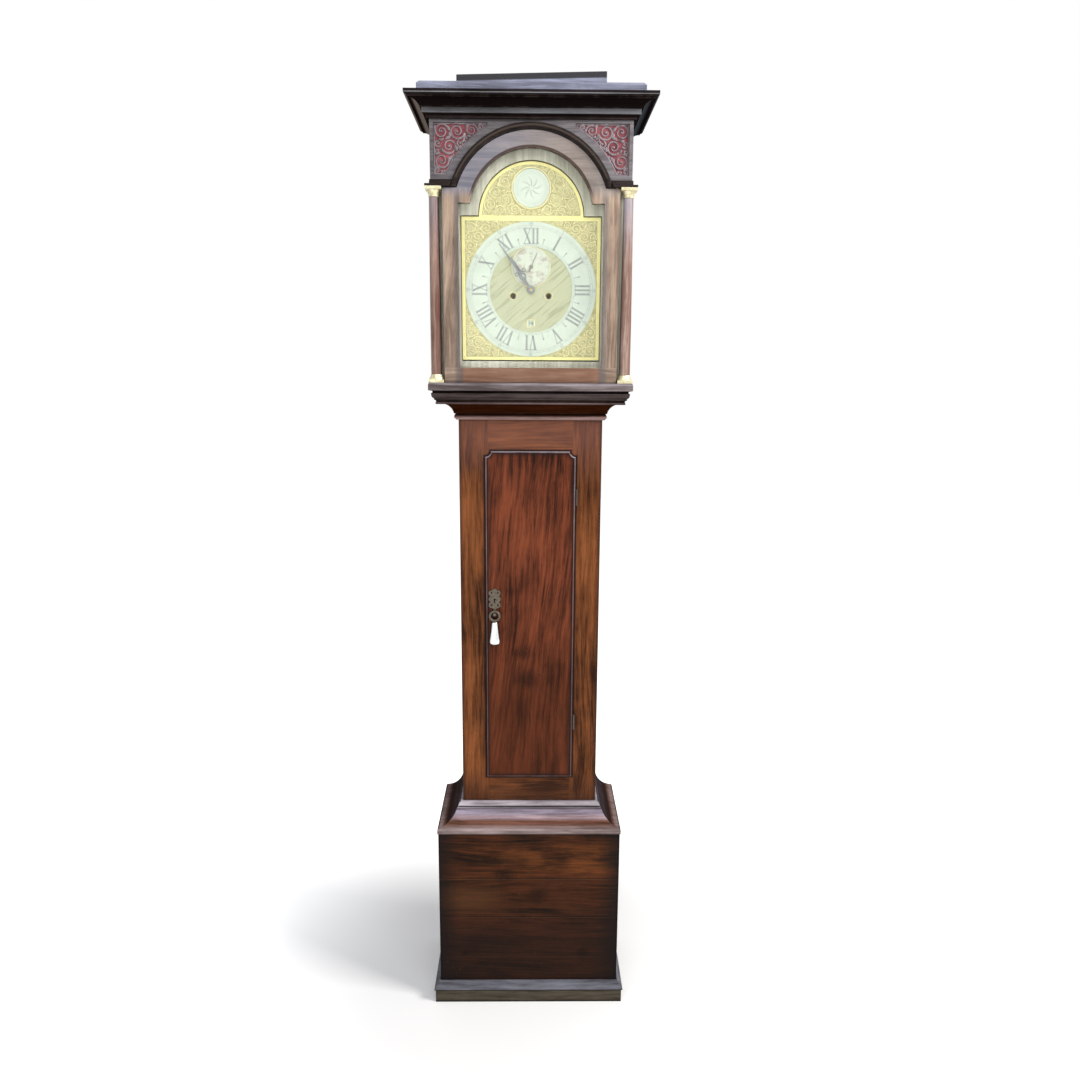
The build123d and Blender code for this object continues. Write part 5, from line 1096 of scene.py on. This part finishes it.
def tick(bm, height, degrees, inner, outer, width, y0, y1):
    """A short radial line about a centre on the clock's axis."""
    angle = math.radians(90 - degrees)
    c, s = math.cos(angle), math.sin(angle)
    bar(bm, inner * c, height + inner * s, outer * c, height + outer * s, width, y0, y1)


def on_circle(x, y, z, radius, angle):
    """A point on a circle that faces the front."""
    return x + radius * math.cos(angle), y, z + radius * math.sin(angle)


def volute(x, z, y, radius, start, hand, turns, thin=0.45):
    """Points of a scroll that winds inwards from its outside to an eye."""
    points = []
    steps = int(26 * turns)
    for step in range(steps + 1):
        share = step / steps
        angle = start + hand * share * turns * 2 * math.pi
        reach = radius * (1 - share) ** 0.85 + 0.16 * radius * share
        points.append((*on_circle(x, y, z, reach, angle), 1 - (1 - thin) * share))
    return points


def leaf(x, z, y, angle, length, curl):
    """A short curved leaf that swells and ends in a point."""
    points = []
    for step in range(8):
        share = step / 7
        swell = 0.5 + 1.1 * math.sin(math.pi * (0.15 + 0.85 * share))
        points.append((*on_circle(x, y, z, length * share, angle + curl * share), swell))
    return points


def packed_circles(room, low, high, least, most, count, spacing=0.001):
    """Fills a region with circles, largest first. room gives the distance to the region's edge."""
    chosen, free = [], {}
    for i in range(int((high[0] - low[0]) / spacing) + 1):
        for j in range(int((high[1] - low[1]) / spacing) + 1):
            point = (low[0] + i * spacing, low[1] + j * spacing)
            clear = room(*point)
            if clear > least:
                free[point] = min(clear, most)
    while free and len(chosen) < count:
        point = max(free, key=lambda p: (round(free[p], 5), p[1], p[0]))
        radius = free[point]
        if radius < least:
            break
        chosen.append((*point, radius))
        for other in list(free):
            gap = math.dist(other, point) - radius
            if gap < least:
                del free[other]
            else:
                free[other] = min(free[other], gap)
    return chosen


def scrollwork(circles, y, bar_width, rng, leaves=2):
    """Scrolls, leaves and beads for each circle."""
    routes, beads = [], []
    for index, (x, z, radius) in enumerate(circles):
        hand = 1 if index % 2 else -1
        start = rng.uniform(0, 2 * math.pi)
        if radius > 2.6 * bar_width:
            turns = 1.55 if radius > 6 * bar_width else 1.15
            routes.append(volute(x, z, y, radius - 0.3 * bar_width, start, hand, turns))
            for number in range(leaves if radius > 4 * bar_width else 1):
                at = start + hand * (2.1 + 2.0 * number)
                root = (x + 0.95 * radius * math.cos(at), z + 0.95 * radius * math.sin(at))
                routes.append(leaf(*root, y, at + 0.9 * hand, 0.55 * radius, 1.1 * hand))
        beads.append((x, z, max(0.16 * radius, 0.8 * bar_width)))
    return routes, beads


def add_scrollwork(bm, work, y, radius, side, flip=None, flatten=None):
    """Adds scrollwork at one side of the clock, upside down where flip gives the other height."""
    routes, beads = work
    flip = flip or (lambda z: z)
    placed = [[(side * p[0], p[1], flip(p[2]), p[3]) for p in route] for route in routes]
    curve_mesh(bm, placed, radius, 2, flatten and flattened(y, flatten))
    for x, z, size in beads:
        place = Matrix.Translation((side * x, y, flip(z))) @ scaled(1, 0.6, 1)
        bmesh.ops.create_icosphere(bm, subdivisions=2, radius=size, matrix=place)


# Pieces


class CLOCK_OT_case_finish(bpy.types.Operator):
    """Round the worn edges of the case and give its boards their grain"""

    bl_idname = "clock.case_finish"
    bl_label = "Case"

    def execute(self, context):
        softened("base_panels", "case", "base_boards")
        softened("skirting", "case", "skirting_wood", 0.0005)
        softened("trunk_mouldings", "case", "waist_wood", 0.0004)
        softened("trunk_front_frame", "case", "frame_wood", 0)
        softened("trunk_sides", "case", "trunk_wood")
        softened("trunk_door", "trunk_door", "door_wood", 0)
        return {"FINISHED"}


class CLOCK_OT_hood_finish(bpy.types.Operator):
    """Round the worn edges of the hood and its door"""

    bl_idname = "clock.hood_finish"
    bl_label = "Hood"

    def execute(self, context):
        softened("hood_sill", "hood", "sill_wood", 0.0004)
        softened("hood_sides", "hood", "hood_wood")
        softened("hood_fascia", "hood", "fascia_wood", 0.0006)
        softened("arch_moulding", "hood", "arch_wood", 0.0009)
        softened("cornice", "hood", "cornice_wood", 0.0004)
        softened("hood_top", "hood", "top_wood")
        softened("hood_door_frame", "hood_door", "hood_door_wood", 0.0009)
        softened("hood_columns", "hood", "column_wood", 0.0004)
        softened("column_mounts", "hood", "capital_brass", 0.0007)
        return {"FINISHED"}


CARRIED_OVER = {
    "oak": ("backboard", "seatboard"),
    "mask_wood": ("dial_mask",),
    "glass": ("hood_door_glass",),
    "silk": ("silk_panels",),
    "dial_brass": ("dial_plate",),
    "silvered": ("silvered_rings", "date_ring"),
    "brass": (
        "movement_plates", "back_cock", "hood_door_pivots", "centre_wheel", "minute_wheel", "hour_wheel",
        "third_wheel", "escape_wheel", "going_great_wheel", "strike_great_wheel", "pin_wheel",
        "locking_wheel", "fly", "going_pulley", "strike_pulley", "going_weight", "strike_weight",
    ),
    "old_brass": ("trunk_hinge_case_leaves", "trunk_hinge_door_leaves"),
    "barrel": ("going_barrel", "strike_barrel"),
    "steel": ("pallets", "hammer", "lock_bolt", "door_lock", "pendulum_rod"),
    "bell_metal": ("bell",),
}


class CLOCK_OT_carried_finish(bpy.types.Operator):
    """Give the pieces that keep their solids their finishes"""

    bl_idname = "clock.carried_finish"
    bl_label = "Movement and dial plate"

    def execute(self, context):
        for name, nodes in CARRIED_OVER.items():
            for node in nodes:
                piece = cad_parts[node]
                piece.data.materials.clear()
                piece.data.materials.append(finish(name))
        return {"FINISHED"}


NUMERALS = ("XII", "I", "II", "III", "IIII", "V", "VI", "VII", "VIII", "IX", "X", "XI")
LETTER_WIDTH = {"I": 0.34, "V": 0.86, "X": 0.86}
NARROWED = 0.62
NUMERAL_RADIUS = 0.1135


def numeral(bm, text, degrees, height, y0, y1):
    """A Roman numeral on the chapter ring, its foot towards the centre."""
    sheet = bmesh.new()
    gap = 0.07 * height
    thick, thin = 0.135 * height, 0.042 * height
    x = -(sum(LETTER_WIDTH[letter] for letter in text) * height * NARROWED + gap * (len(text) - 1)) / 2
    half = height / 2
    strokes = {
        "I": ((0.5, 0.5, thick),),
        "V": ((0.16, 0.5, thick), (0.88, 0.5, thin)),
        "X": ((0.12, 0.88, thick), (0.88, 0.12, thin)),
    }
    for letter in text:
        width = LETTER_WIDTH[letter] * height * NARROWED
        for head, foot, weight in strokes[letter]:
            ends = (half, -half) if letter != "I" else (-half, half)
            bar(sheet, x + head * width, ends[0], x + foot * width, ends[1], weight, y0, y1)
        for end in (-half, half):
            if letter != "V" or end > 0:
                bar(sheet, x - 0.02 * height, end, x + width + 0.02 * height, end, thin, y0, y1)
        x += width + gap
    centre, outwards = Matrix.Translation((0, 0, CENTRE_HEIGHT)), Matrix.Translation((0, 0, NUMERAL_RADIUS))
    bmesh.ops.transform(sheet, matrix=centre @ turn(degrees) @ outwards, verts=sheet.verts)
    mesh = bpy.data.meshes.new("numeral")
    sheet.to_mesh(mesh)
    sheet.free()
    bm.from_mesh(mesh)
    bpy.data.meshes.remove(mesh)


class CLOCK_OT_dial_engraving(bpy.types.Operator):
    """Engrave the chapter ring, the seconds ring and the arch boss"""

    bl_idname = "clock.dial_engraving"
    bl_label = "Dial engraving"

    def execute(self, context):
        sizes = context.scene.clock_sizes
        front = RING_FACE - sizes.engraving
        back = RING_FACE + 0.0001

        bm = bmesh.new()
        for hour, text in enumerate(NUMERALS):
            numeral(bm, text, hour * 30, sizes.numeral_height, back, front)
        for radius in (0.0935, 0.0965, 0.1315, 0.1358):
            ring(bm, CENTRE_HEIGHT, radius, radius + 0.0004, front, back, 128)
        for minute in range(60):
            width = 0.0005 if minute % 5 else 0.0011
            tick(bm, CENTRE_HEIGHT, minute * 6, 0.1317, 0.1358, width, back, front)
        for quarter in range(48):
            tick(bm, CENTRE_HEIGHT, quarter * 7.5, 0.0937, 0.0967, 0.0004, back, front)
        lozenge = scaled(0.0032, back - front, 0.0032)
        for hour in range(12):
            tick(bm, CENTRE_HEIGHT, hour * 30 + 15, 0.099, 0.108, 0.0012, back, front)
            angle = math.radians(90 - hour * 30 - 15)
            place = Matrix.Translation(on_circle(0, (front + back) / 2, CENTRE_HEIGHT, 0.1095, angle))
            aslant = Matrix.Rotation(math.pi / 4 - angle, 4, "Y")
            bmesh.ops.create_cube(bm, size=1, matrix=place @ aslant @ lozenge)
        for number in range(1, 13):
            figure_round(bm, str(number * 5), 0.0085, number * 30, 0.1398, front, CENTRE_HEIGHT)
        finished("chapter_engraving", bm, "case", "wax", smooth=0)

        bm = bmesh.new()
        for radius in (0.0335, 0.0395):
            ring(bm, SECONDS_HEIGHT, radius, radius + 0.0003, front, back)
        for second in range(60):
            inner, width = (0.0372, 0.0004) if second % 5 else (0.0355, 0.0007)
            tick(bm, SECONDS_HEIGHT, second * 6, inner, 0.0396, width, back, front)
        for number in range(1, 7):
            figure_round(bm, str(number * 10), 0.0078, number * 60, 0.0285, front, SECONDS_HEIGHT)
        finished("seconds_engraving", bm, "case", "wax", smooth=0)

        boss = DIAL_FACE - 0.003
        bm = bmesh.new()
        for radius in (0.0345, 0.0305):
            ring(bm, BOSS_HEIGHT, radius, radius + 0.0004, boss - 0.0001, boss + 0.0001)
        for number in range(48):
            tick(bm, BOSS_HEIGHT, number * 7.5, 0.0312, 0.0342, 0.0007, boss + 0.0001, boss - 0.0001)
        for number in range(8):
            angle = number * math.pi / 4
            root = (0.004 * math.cos(angle), BOSS_HEIGHT + 0.004 * math.sin(angle))
            curve_mesh(bm, [leaf(*root, boss, angle - 0.35, 0.02, 0.7)], 0.0009, 1, flattened(boss, 0.1))
        finished("boss_engraving", bm, "case", "pale_wax", smooth=0)

        bm = bmesh.new()
        for day in range(1, 32):
            degrees = 180 + (14 - day) * 360 / 31
            figure_round(bm, str(day), 0.0095, degrees, DATE_RADIUS, DIAL_FACE + 0.0027, CENTRE_HEIGHT, -180)
        finished("date_figures", bm, "date_ring", "blued_steel", smooth=0)
        return {"FINISHED"}


class CLOCK_OT_dial_turnings(bpy.types.Operator):
    """Turned rings round the winding holes, the boss and the seconds ring, and the date window's frame"""

    bl_idname = "clock.dial_turnings"
    bl_label = "Dial turnings"

    def execute(self, context):
        winding_x, winding_z = 0.0393, CENTRE_HEIGHT - 0.0128
        winding = [(0.0080, 0), (0.0083, 0.0005), (0.0089, 0.0005), (0.0092, 0)]
        boss = [
            (0.0402, 0), (0.0402, 0.0026), (0.0412, 0.0036), (0.0428, 0.0036), (0.0438, 0.0024), (0.0442, 0),
        ]
        seconds = [(0.0422, 0), (0.0422, 0.0014), (0.0428, 0.0018), (0.0434, 0.0014), (0.0434, 0)]
        bm = bmesh.new()
        for x in (-winding_x, winding_x):
            turned(bm, winding, (x, DIAL_FACE, winding_z), "Y", 48)
        turned(bm, boss, (0, DIAL_FACE, BOSS_HEIGHT), "Y", 96)
        turned(bm, seconds, (0, DIAL_FACE, SECONDS_HEIGHT), "Y", 96)
        finished("dial_turned_rings", bm, "case", "casting", smooth=40)

        bm = bmesh.new()
        half = 0.0078
        z = CENTRE_HEIGHT - DATE_RADIUS
        for x0, z0, x1, z1 in ((-1, -1, 1, -1), (1, -1, 1, 1), (1, 1, -1, 1), (-1, 1, -1, -1)):
            ends = (x0 * half, z + z0 * half, x1 * half, z + z1 * half)
            bar(bm, *ends, 0.0014, DIAL_FACE, DIAL_FACE - 0.0006)
        finished("date_window_frame", bm, "case", "casting", smooth=0)
        return {"FINISHED"}


class CLOCK_OT_spandrels(bpy.types.Operator):
    """Cast scrollwork in the corners and the arch of the dial"""

    bl_idname = "clock.spandrels"
    bl_label = "Dial spandrels"

    def execute(self, context):
        sizes = context.scene.clock_sizes
        rng = random.Random(sizes.seed)
        low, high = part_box("spandrel_castings")
        half, foot = high.x, low.z
        top = CENTRE_HEIGHT + 0.1454
        width = sizes.scroll_bar
        y = DIAL_FACE - 0.0004
        bm = bmesh.new()

        def corner_room(x, z):
            away = math.hypot(x, z - CENTRE_HEIGHT) - 0.148
            return min(half - 0.001 - x, z - foot - 0.001, away, 0.083 - (half - x))

        def arch_room(x, z):
            edge = 0.1065 - math.hypot(x, z - ARCH_HEIGHT)
            boss = math.hypot(x, z - BOSS_HEIGHT) - 0.0445
            return min(edge, boss, z - ARCH_HEIGHT - 0.004, x - 0.002)

        corner = packed_circles(corner_room, (0.05, foot), (half, CENTRE_HEIGHT), 0.0023, 0.0125, 60)
        work = scrollwork(corner, y, width, rng)
        for side in (-1, 1):
            for flip in (None, lambda z: foot + top - z):
                add_scrollwork(bm, work, y, width, side, flip)
        arch = packed_circles(arch_room, (0.0, ARCH_HEIGHT), (0.11, ARCH_HEIGHT + 0.11), 0.0023, 0.014, 70)
        work = scrollwork(arch, y, width, rng)
        for side in (-1, 1):
            add_scrollwork(bm, work, y, width, side)
        finished(
            "spandrel_scrolls", bm, "case", "casting", smooth=60, replaces=("spandrel_castings",)
        )
        return {"FINISHED"}


class CLOCK_OT_frets(bpy.types.Operator):
    """Pierced scroll frets over the silk in the hood's spandrels"""

    bl_idname = "clock.frets"
    bl_label = "Hood frets"

    def execute(self, context):
        sizes = context.scene.clock_sizes
        rng = random.Random(sizes.seed + 7)
        low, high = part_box("spandrel_frets")
        width = sizes.fret_bar
        y = low.y + 0.0015
        inner, border = 0.196, 0.1975

        def room(x, z):
            away = math.hypot(x, z - HOOD_ARCH_HEIGHT) - inner
            return min(high.x - x, high.z - z, z - low.z, away)

        circles = packed_circles(room, (0.08, low.z), (high.x, high.z), 0.0042, 0.0165, 46)
        routes, beads = scrollwork(circles, y, width, rng, 3)
        side_x, top_z = high.x - 0.0012, high.z - 0.0012
        tip = math.sqrt(inner**2 - (high.z - HOOD_ARCH_HEIGHT) ** 2) + 0.015
        edge = [(side_x, y, low.z, 1.0), (side_x, y, top_z, 1.0), (tip, y, top_z, 1.0)]
        start = math.asin((low.z - HOOD_ARCH_HEIGHT) / border)
        end = math.asin((high.z - 0.002 - HOOD_ARCH_HEIGHT) / border)
        arc = []
        for step in range(25):
            angle = start + (end - start) * step / 24
            arc.append((*on_circle(0, y, HOOD_ARCH_HEIGHT, border, angle), 1.0))
        foot = [(border * math.cos(start), y, low.z + 0.001, 1.0), (high.x - 0.001, y, low.z + 0.001, 1.0)]
        bm = bmesh.new()
        for side in (-1, 1):
            add_scrollwork(bm, (routes + [edge, arc, foot], beads), y, width, side, flatten=0.6)
        finished(
            "fret_scrolls", bm, "hood", "fret_wood", smooth=60, replaces=("spandrel_frets",)
        )
        return {"FINISHED"}


# Shapes of the hands, which point up from (0, 0): bars (x0, z0, x1, z1, width) and rings (x, z, inner, outer)
HOUR_HAND = (
    (0, 0.007, 0, 0.026, 0.0042),
    (0, 0.0335, 0.0048, 0.0078),
    (-0.0092, 0.044, 0.0026, 0.0046),
    (0.0092, 0.044, 0.0026, 0.0046),
    (0, 0.0405, 0, 0.056, 0.0036),
    (-0.0055, 0.040, 0, 0.0535, 0.0024),
    (0.0055, 0.040, 0, 0.0535, 0.0024),
    (0, 0.054, 0, 0.070, 0.0058),
    (0, 0.069, 0, 0.0815, 0.0026),
)
MINUTE_HAND = (
    (0, 0.005, 0, 0.022, 0.0042),
    (0, 0.027, 0.0026, 0.0052),
    (0, 0.0318, 0, 0.085, 0.0034),
    (0, 0.084, 0, 0.119, 0.0022),
)
SECONDS_HAND = ((0, 0.002, 0, 0.033, 0.0014), (0, -0.002, 0, -0.012, 0.0024))

# Each hand's piece, node, body, shapes, collet radius, height of its arbor and clockwise angle
HANDS = (
    ("hour_hand_pierced", "hour_hand", "hour_hand", HOUR_HAND, 0.0085, CENTRE_HEIGHT, 327),
    ("minute_hand_pierced", "minute_hand", "minute_hand", MINUTE_HAND, 0.007, CENTRE_HEIGHT, 324),
    ("seconds_hand_fine", "seconds_hand", "escape_wheel", SECONDS_HAND, 0.0035, SECONDS_HEIGHT, 24),
)


def placed_hand(name, node, body, shapes, collet, height, degrees):
    """A hand of bars and rings with its turned collet, in the depth of its node."""
    low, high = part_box(node)
    bm = bmesh.new()
    for shape in shapes:
        if len(shape) == 5:
            bar(bm, *shape, high.y, low.y)
        else:
            x, z, inner, outer = shape
            ring(bm, z, inner, outer, high.y, low.y, 40, x)
    bore, shoulder = 0.42 * collet, 0.7 * collet
    profile = [(bore, 0), (bore, 0.0016), (shoulder, 0.0018), (collet, 0.0008), (collet, 0)]
    turned(bm, profile, (0, high.y, 0), "Y", 40)
    bmesh.ops.transform(bm, matrix=Matrix.Translation((0, 0, height)) @ turn(degrees), verts=bm.verts)
    finished(name, bm, body, "hand_steel", smooth=0, replaces=(node,))


class CLOCK_OT_hands(bpy.types.Operator):
    """Pierced blued steel hands"""

    bl_idname = "clock.hands"
    bl_label = "Hands"

    def execute(self, context):
        for hand in HANDS:
            placed_hand(*hand)
        return {"FINISHED"}


class CLOCK_OT_handle(bpy.types.Operator):
    """The drop handle on the trunk door, its ring and its pierced backplate"""

    bl_idname = "clock.handle"
    bl_label = "Door handle"

    def execute(self, context):
        softened("handle_backplate", "trunk_door", "pewter", 0.0004)
        low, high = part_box("drop_handle")
        x, y = (low.x + high.x) / 2, (low.y + high.y) / 2
        ring_z = high.z - 0.0144
        reach, thickness = 0.0114, 0.003
        bm = bmesh.new()
        angles = [step * math.pi / 8 for step in range(17)]
        section = [(reach + thickness * math.cos(angle), thickness * math.sin(angle)) for angle in angles]
        turned(bm, section, (x, y, ring_z), "Y", 64)
        knob = [(0, 0.0015), (0.0022, 0.001), (0.0034, -0.001), (0.003, -0.004), (0.0015, -0.005)]
        turned(bm, knob, (x, y, ring_z - reach), "Z", 32)
        finished("handle_ring", bm, "drop_handle", "pewter", smooth=50)

        bm = bmesh.new()
        drop = [
            (0, 0.0012), (0.0034, 0.0007), (0.0060, -0.0008), (0.0065, -0.003), (0.0072, -0.012),
            (0.0085, -0.024), (0.0101, -0.035), (0.0114, -0.043), (0.0119, -0.0475), (0.0112, -0.0515),
            (0.0085, -0.0545), (0.0045, -0.0556), (0, -0.0558),
        ]
        turned(bm, drop, (x, y, ring_z - 0.0158), "Z", 48)
        bmesh.ops.transform(bm, matrix=flattened(y, 0.43), verts=bm.verts)
        finished(
            "handle_drop", bm, "drop_handle", "bright_drop", smooth=60, replaces=("drop_handle",)
        )
        return {"FINISHED"}


class CLOCK_OT_pendulum(bpy.types.Operator):
    """A brass-faced lenticular bob"""

    bl_idname = "clock.pendulum"
    bl_label = "Pendulum bob"

    def execute(self, context):
        low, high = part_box("pendulum_bob")
        radius = (high.x - low.x) / 2
        half = (high.y - low.y) / 2
        dome = []
        for step in range(1, 15):
            share = step / 15
            dome.append((radius * share, half * math.cos(share * math.pi / 2) ** 0.8))
        back = [(reach, -height) for reach, height in reversed(dome)]
        profile = [(0, half), *dome, (radius, 0.0014), (radius, -0.0014), *back, (0, -half)]
        bm = bmesh.new()
        turned(bm, profile, tuple((low + high) / 2), "Y", 96)
        finished("bob_lens", bm, "pendulum", "brass", smooth=50, replaces=("pendulum_bob",))
        return {"FINISHED"}


def divided(route, longest):
    """The route with points added, so that none of its straight parts is much longer than a length."""
    fine = [route[0]]
    for before, after in zip(route, route[1:]):
        pieces = max(1, int(math.dist(before, after) / longest))
        for number in range(1, pieces + 1):
            share = number / pieces
            fine.append(tuple(a + (b - a) * share for a, b in zip(before, after)))
    return fine


class CLOCK_OT_lines(bpy.types.Operator):
    """The gut lines, which run from the seatboard to the weights, with their turns on the barrels"""

    bl_idname = "clock.lines"
    bl_label = "Gut lines"

    def execute(self, context):
        reach = 0.0256
        knot_radius = 0.0024
        turns, turn_steps = 12, 32
        wound_radius, wound_width = 0.02525, 0.0175
        for train in ("going", "strike"):
            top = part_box(f"{train}_gut_line")[1].z
            low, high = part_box(f"{train}_pulley")
            x, y, pulley_z = (low + high) / 2
            low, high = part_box(f"{train}_barrel")
            drum_z = (low.z + high.z) / 2
            route = []
            for step in range(9):
                angle = math.pi / 2 + step * math.pi / 16
                route.append(on_circle(x, y, drum_z, reach, angle))
            for step in range(25):
                angle = math.pi + step * math.pi / 24
                route.append(on_circle(x, y, pulley_z, reach, angle))
            knot = (x + reach, y, top - knot_radius)
            bm = bmesh.new()
            curve_mesh(bm, [divided([*route, knot], 0.03)], 0.0008, 2)
            place = Matrix.Translation(knot)
            bmesh.ops.create_icosphere(bm, subdivisions=2, radius=knot_radius, matrix=place)
            piece = finished(
                f"{train}_line", bm, None, "gut", smooth=60, replaces=(f"{train}_gut_line",)
            )
            bpy.context.view_layer.update()
            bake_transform(piece)

            bm = bmesh.new()
            wound = []
            for step in range(turns * turn_steps + 1):
                angle = math.pi / 2 - step * 2 * math.pi / turn_steps
                along = y + 0.0018 + wound_width * step / (turns * turn_steps)
                wound.append(on_circle(x, along, drum_z, wound_radius, angle))
            curve_mesh(bm, [wound], 0.00066, 1)
            finished(f"{train}_barrel_turns", bm, f"{train}_barrel", "gut", smooth=60)
        return {"FINISHED"}


def seen_directly(g):
    """One for the rays that show the background: from the camera, off metal and through glass."""
    rays = g.node("ShaderNodeLightPath").outputs
    shown = g.math("MAXIMUM", rays["Is Camera Ray"], rays["Is Glossy Ray"])
    return g.math("MAXIMUM", shown, rays["Is Transmission Ray"])


# Each lamp's name, place, aim, size, power and colour
LAMPS = (
    ("sky_panel", (0.3, -3.2, 4.2), (0, 0, 1.7), (4.0, 2.2), 68, (0.94, 0.96, 1.0)),
    ("right_panel", (2.8, -1.2, 2.9), (0, 0, 0.9), (1.2, 1.2), 120, (1.0, 0.97, 0.93)),
    ("front_fill", (-1.0, -3.4, 1.2), (0, 0, 0.8), (2.0, 2.0), 20, (1.0, 0.98, 0.96)),
)


class CLOCK_OT_stage(bpy.types.Operator):
    """Floor, soft lamps and the camera"""

    bl_idname = "clock.stage"
    bl_label = "Stage"

    def execute(self, context):
        scene = context.scene
        bm = bmesh.new()
        bmesh.ops.create_grid(bm, x_segments=2, y_segments=2, size=9)
        mesh = bpy.data.meshes.new("floor")
        bm.to_mesh(mesh)
        bm.free()
        floor = bpy.data.objects.new("floor", mesh)
        scene.collection.objects.link(floor)
        material, g, shader = new_material("pale_floor")
        away = g.node("ShaderNodeVectorMath", {"Vector": g.object_point()}, operation="LENGTH")
        # Painted shade: the floor glows less near the clock, which deepens its shadow there.
        glow = g.add(0.11, g.mul(g.steps(away.outputs["Value"], 0.35, 1.1), 0.65))
        g.fill(
            shader,
            {
                "Base Color": (0.92, 0.92, 0.91, 1),
                "Roughness": 0.9,
                "Specular IOR Level": 0.0,
                "Emission Color": (1, 1, 1, 1),
                "Emission Strength": g.mul(seen_directly(g), glow),
            },
        )
        mesh.materials.append(material)

        world = bpy.data.worlds.new("studio")
        scene.world = world
        world.use_nodes = True
        world.node_tree.nodes.clear()
        g = Graph(world.node_tree)
        soft = g.node("ShaderNodeBackground", {"Color": (0.93, 0.95, 1.0, 1), "Strength": 0.40})
        white = g.node("ShaderNodeBackground", {"Color": (1, 1, 1, 1), "Strength": 1.0})
        mixed = g.node("ShaderNodeMixShader", {"Fac": seen_directly(g)})
        g.feed(mixed.inputs[1], soft.outputs[0])
        g.feed(mixed.inputs[2], white.outputs[0])
        g.node("ShaderNodeOutputWorld", {"Surface": mixed.outputs[0]})

        for name, place, aim, size, power, colour in LAMPS:
            data = bpy.data.lights.new(name, "AREA")
            data.shape = "RECTANGLE"
            data.size, data.size_y = size
            data.energy = power
            data.color = colour
            holder = bpy.data.objects.new(name, data)
            holder.location = place
            holder.rotation_euler = (Vector(aim) - Vector(place)).to_track_quat("-Z", "Y").to_euler()
            scene.collection.objects.link(holder)

        camera = bpy.data.objects.new("camera", bpy.data.cameras.new("camera"))
        scene.collection.objects.link(camera)
        camera.data.sensor_width = 36
        camera.data.lens = 27.83
        camera.location = (0, -1.975, 1.553)
        heading = Matrix.Rotation(math.radians(-0.69), 4, "Z")
        pitch = Matrix.Rotation(math.radians(90 - 10.847), 4, "X")
        roll = Matrix.Rotation(math.radians(0.33), 4, "Z")
        camera.rotation_euler = (heading @ pitch @ roll).to_euler()
        scene.camera = camera
        scene.view_settings.view_transform = "Standard"
        return {"FINISHED"}


OPERATORS = (
    CLOCK_OT_case_finish,
    CLOCK_OT_hood_finish,
    CLOCK_OT_carried_finish,
    CLOCK_OT_dial_engraving,
    CLOCK_OT_dial_turnings,
    CLOCK_OT_spandrels,
    CLOCK_OT_frets,
    CLOCK_OT_hands,
    CLOCK_OT_handle,
    CLOCK_OT_pendulum,
    CLOCK_OT_lines,
    CLOCK_OT_stage,
)


class CLOCK_PT_panel(bpy.types.Panel):
    """The clock's settings and its pieces"""

    bl_label = "Longcase Clock"
    bl_idname = "CLOCK_PT_panel"
    bl_space_type = "VIEW_3D"
    bl_region_type = "UI"
    bl_category = "Clock"

    def draw(self, context):
        for group in (context.scene.clock_sizes, context.scene.clock_colours):
            for key in group.__annotations__:
                self.layout.prop(group, key)
        for operator in OPERATORS:
            self.layout.operator(operator.bl_idname)


CLASSES = (ClockSizes, ClockColours, *OPERATORS, CLOCK_PT_panel)


def register():
    for item in CLASSES:
        bpy.utils.register_class(item)
    bpy.types.Scene.clock_sizes = bpy.props.PointerProperty(type=ClockSizes)
    bpy.types.Scene.clock_colours = bpy.props.PointerProperty(type=ClockColours)


def unregister():
    del bpy.types.Scene.clock_colours
    del bpy.types.Scene.clock_sizes
    for item in reversed(CLASSES):
        bpy.utils.unregister_class(item)


def main():
    register()
    bpy.ops.clock.case_finish()
    bpy.ops.clock.hood_finish()
    bpy.ops.clock.carried_finish()
    bpy.ops.clock.dial_engraving()
    bpy.ops.clock.dial_turnings()
    bpy.ops.clock.spandrels()
    bpy.ops.clock.frets()
    bpy.ops.clock.hands()
    bpy.ops.clock.handle()
    bpy.ops.clock.pendulum()
    bpy.ops.clock.lines()
    bpy.ops.clock.stage()


if __name__ == "__main__":
    main()
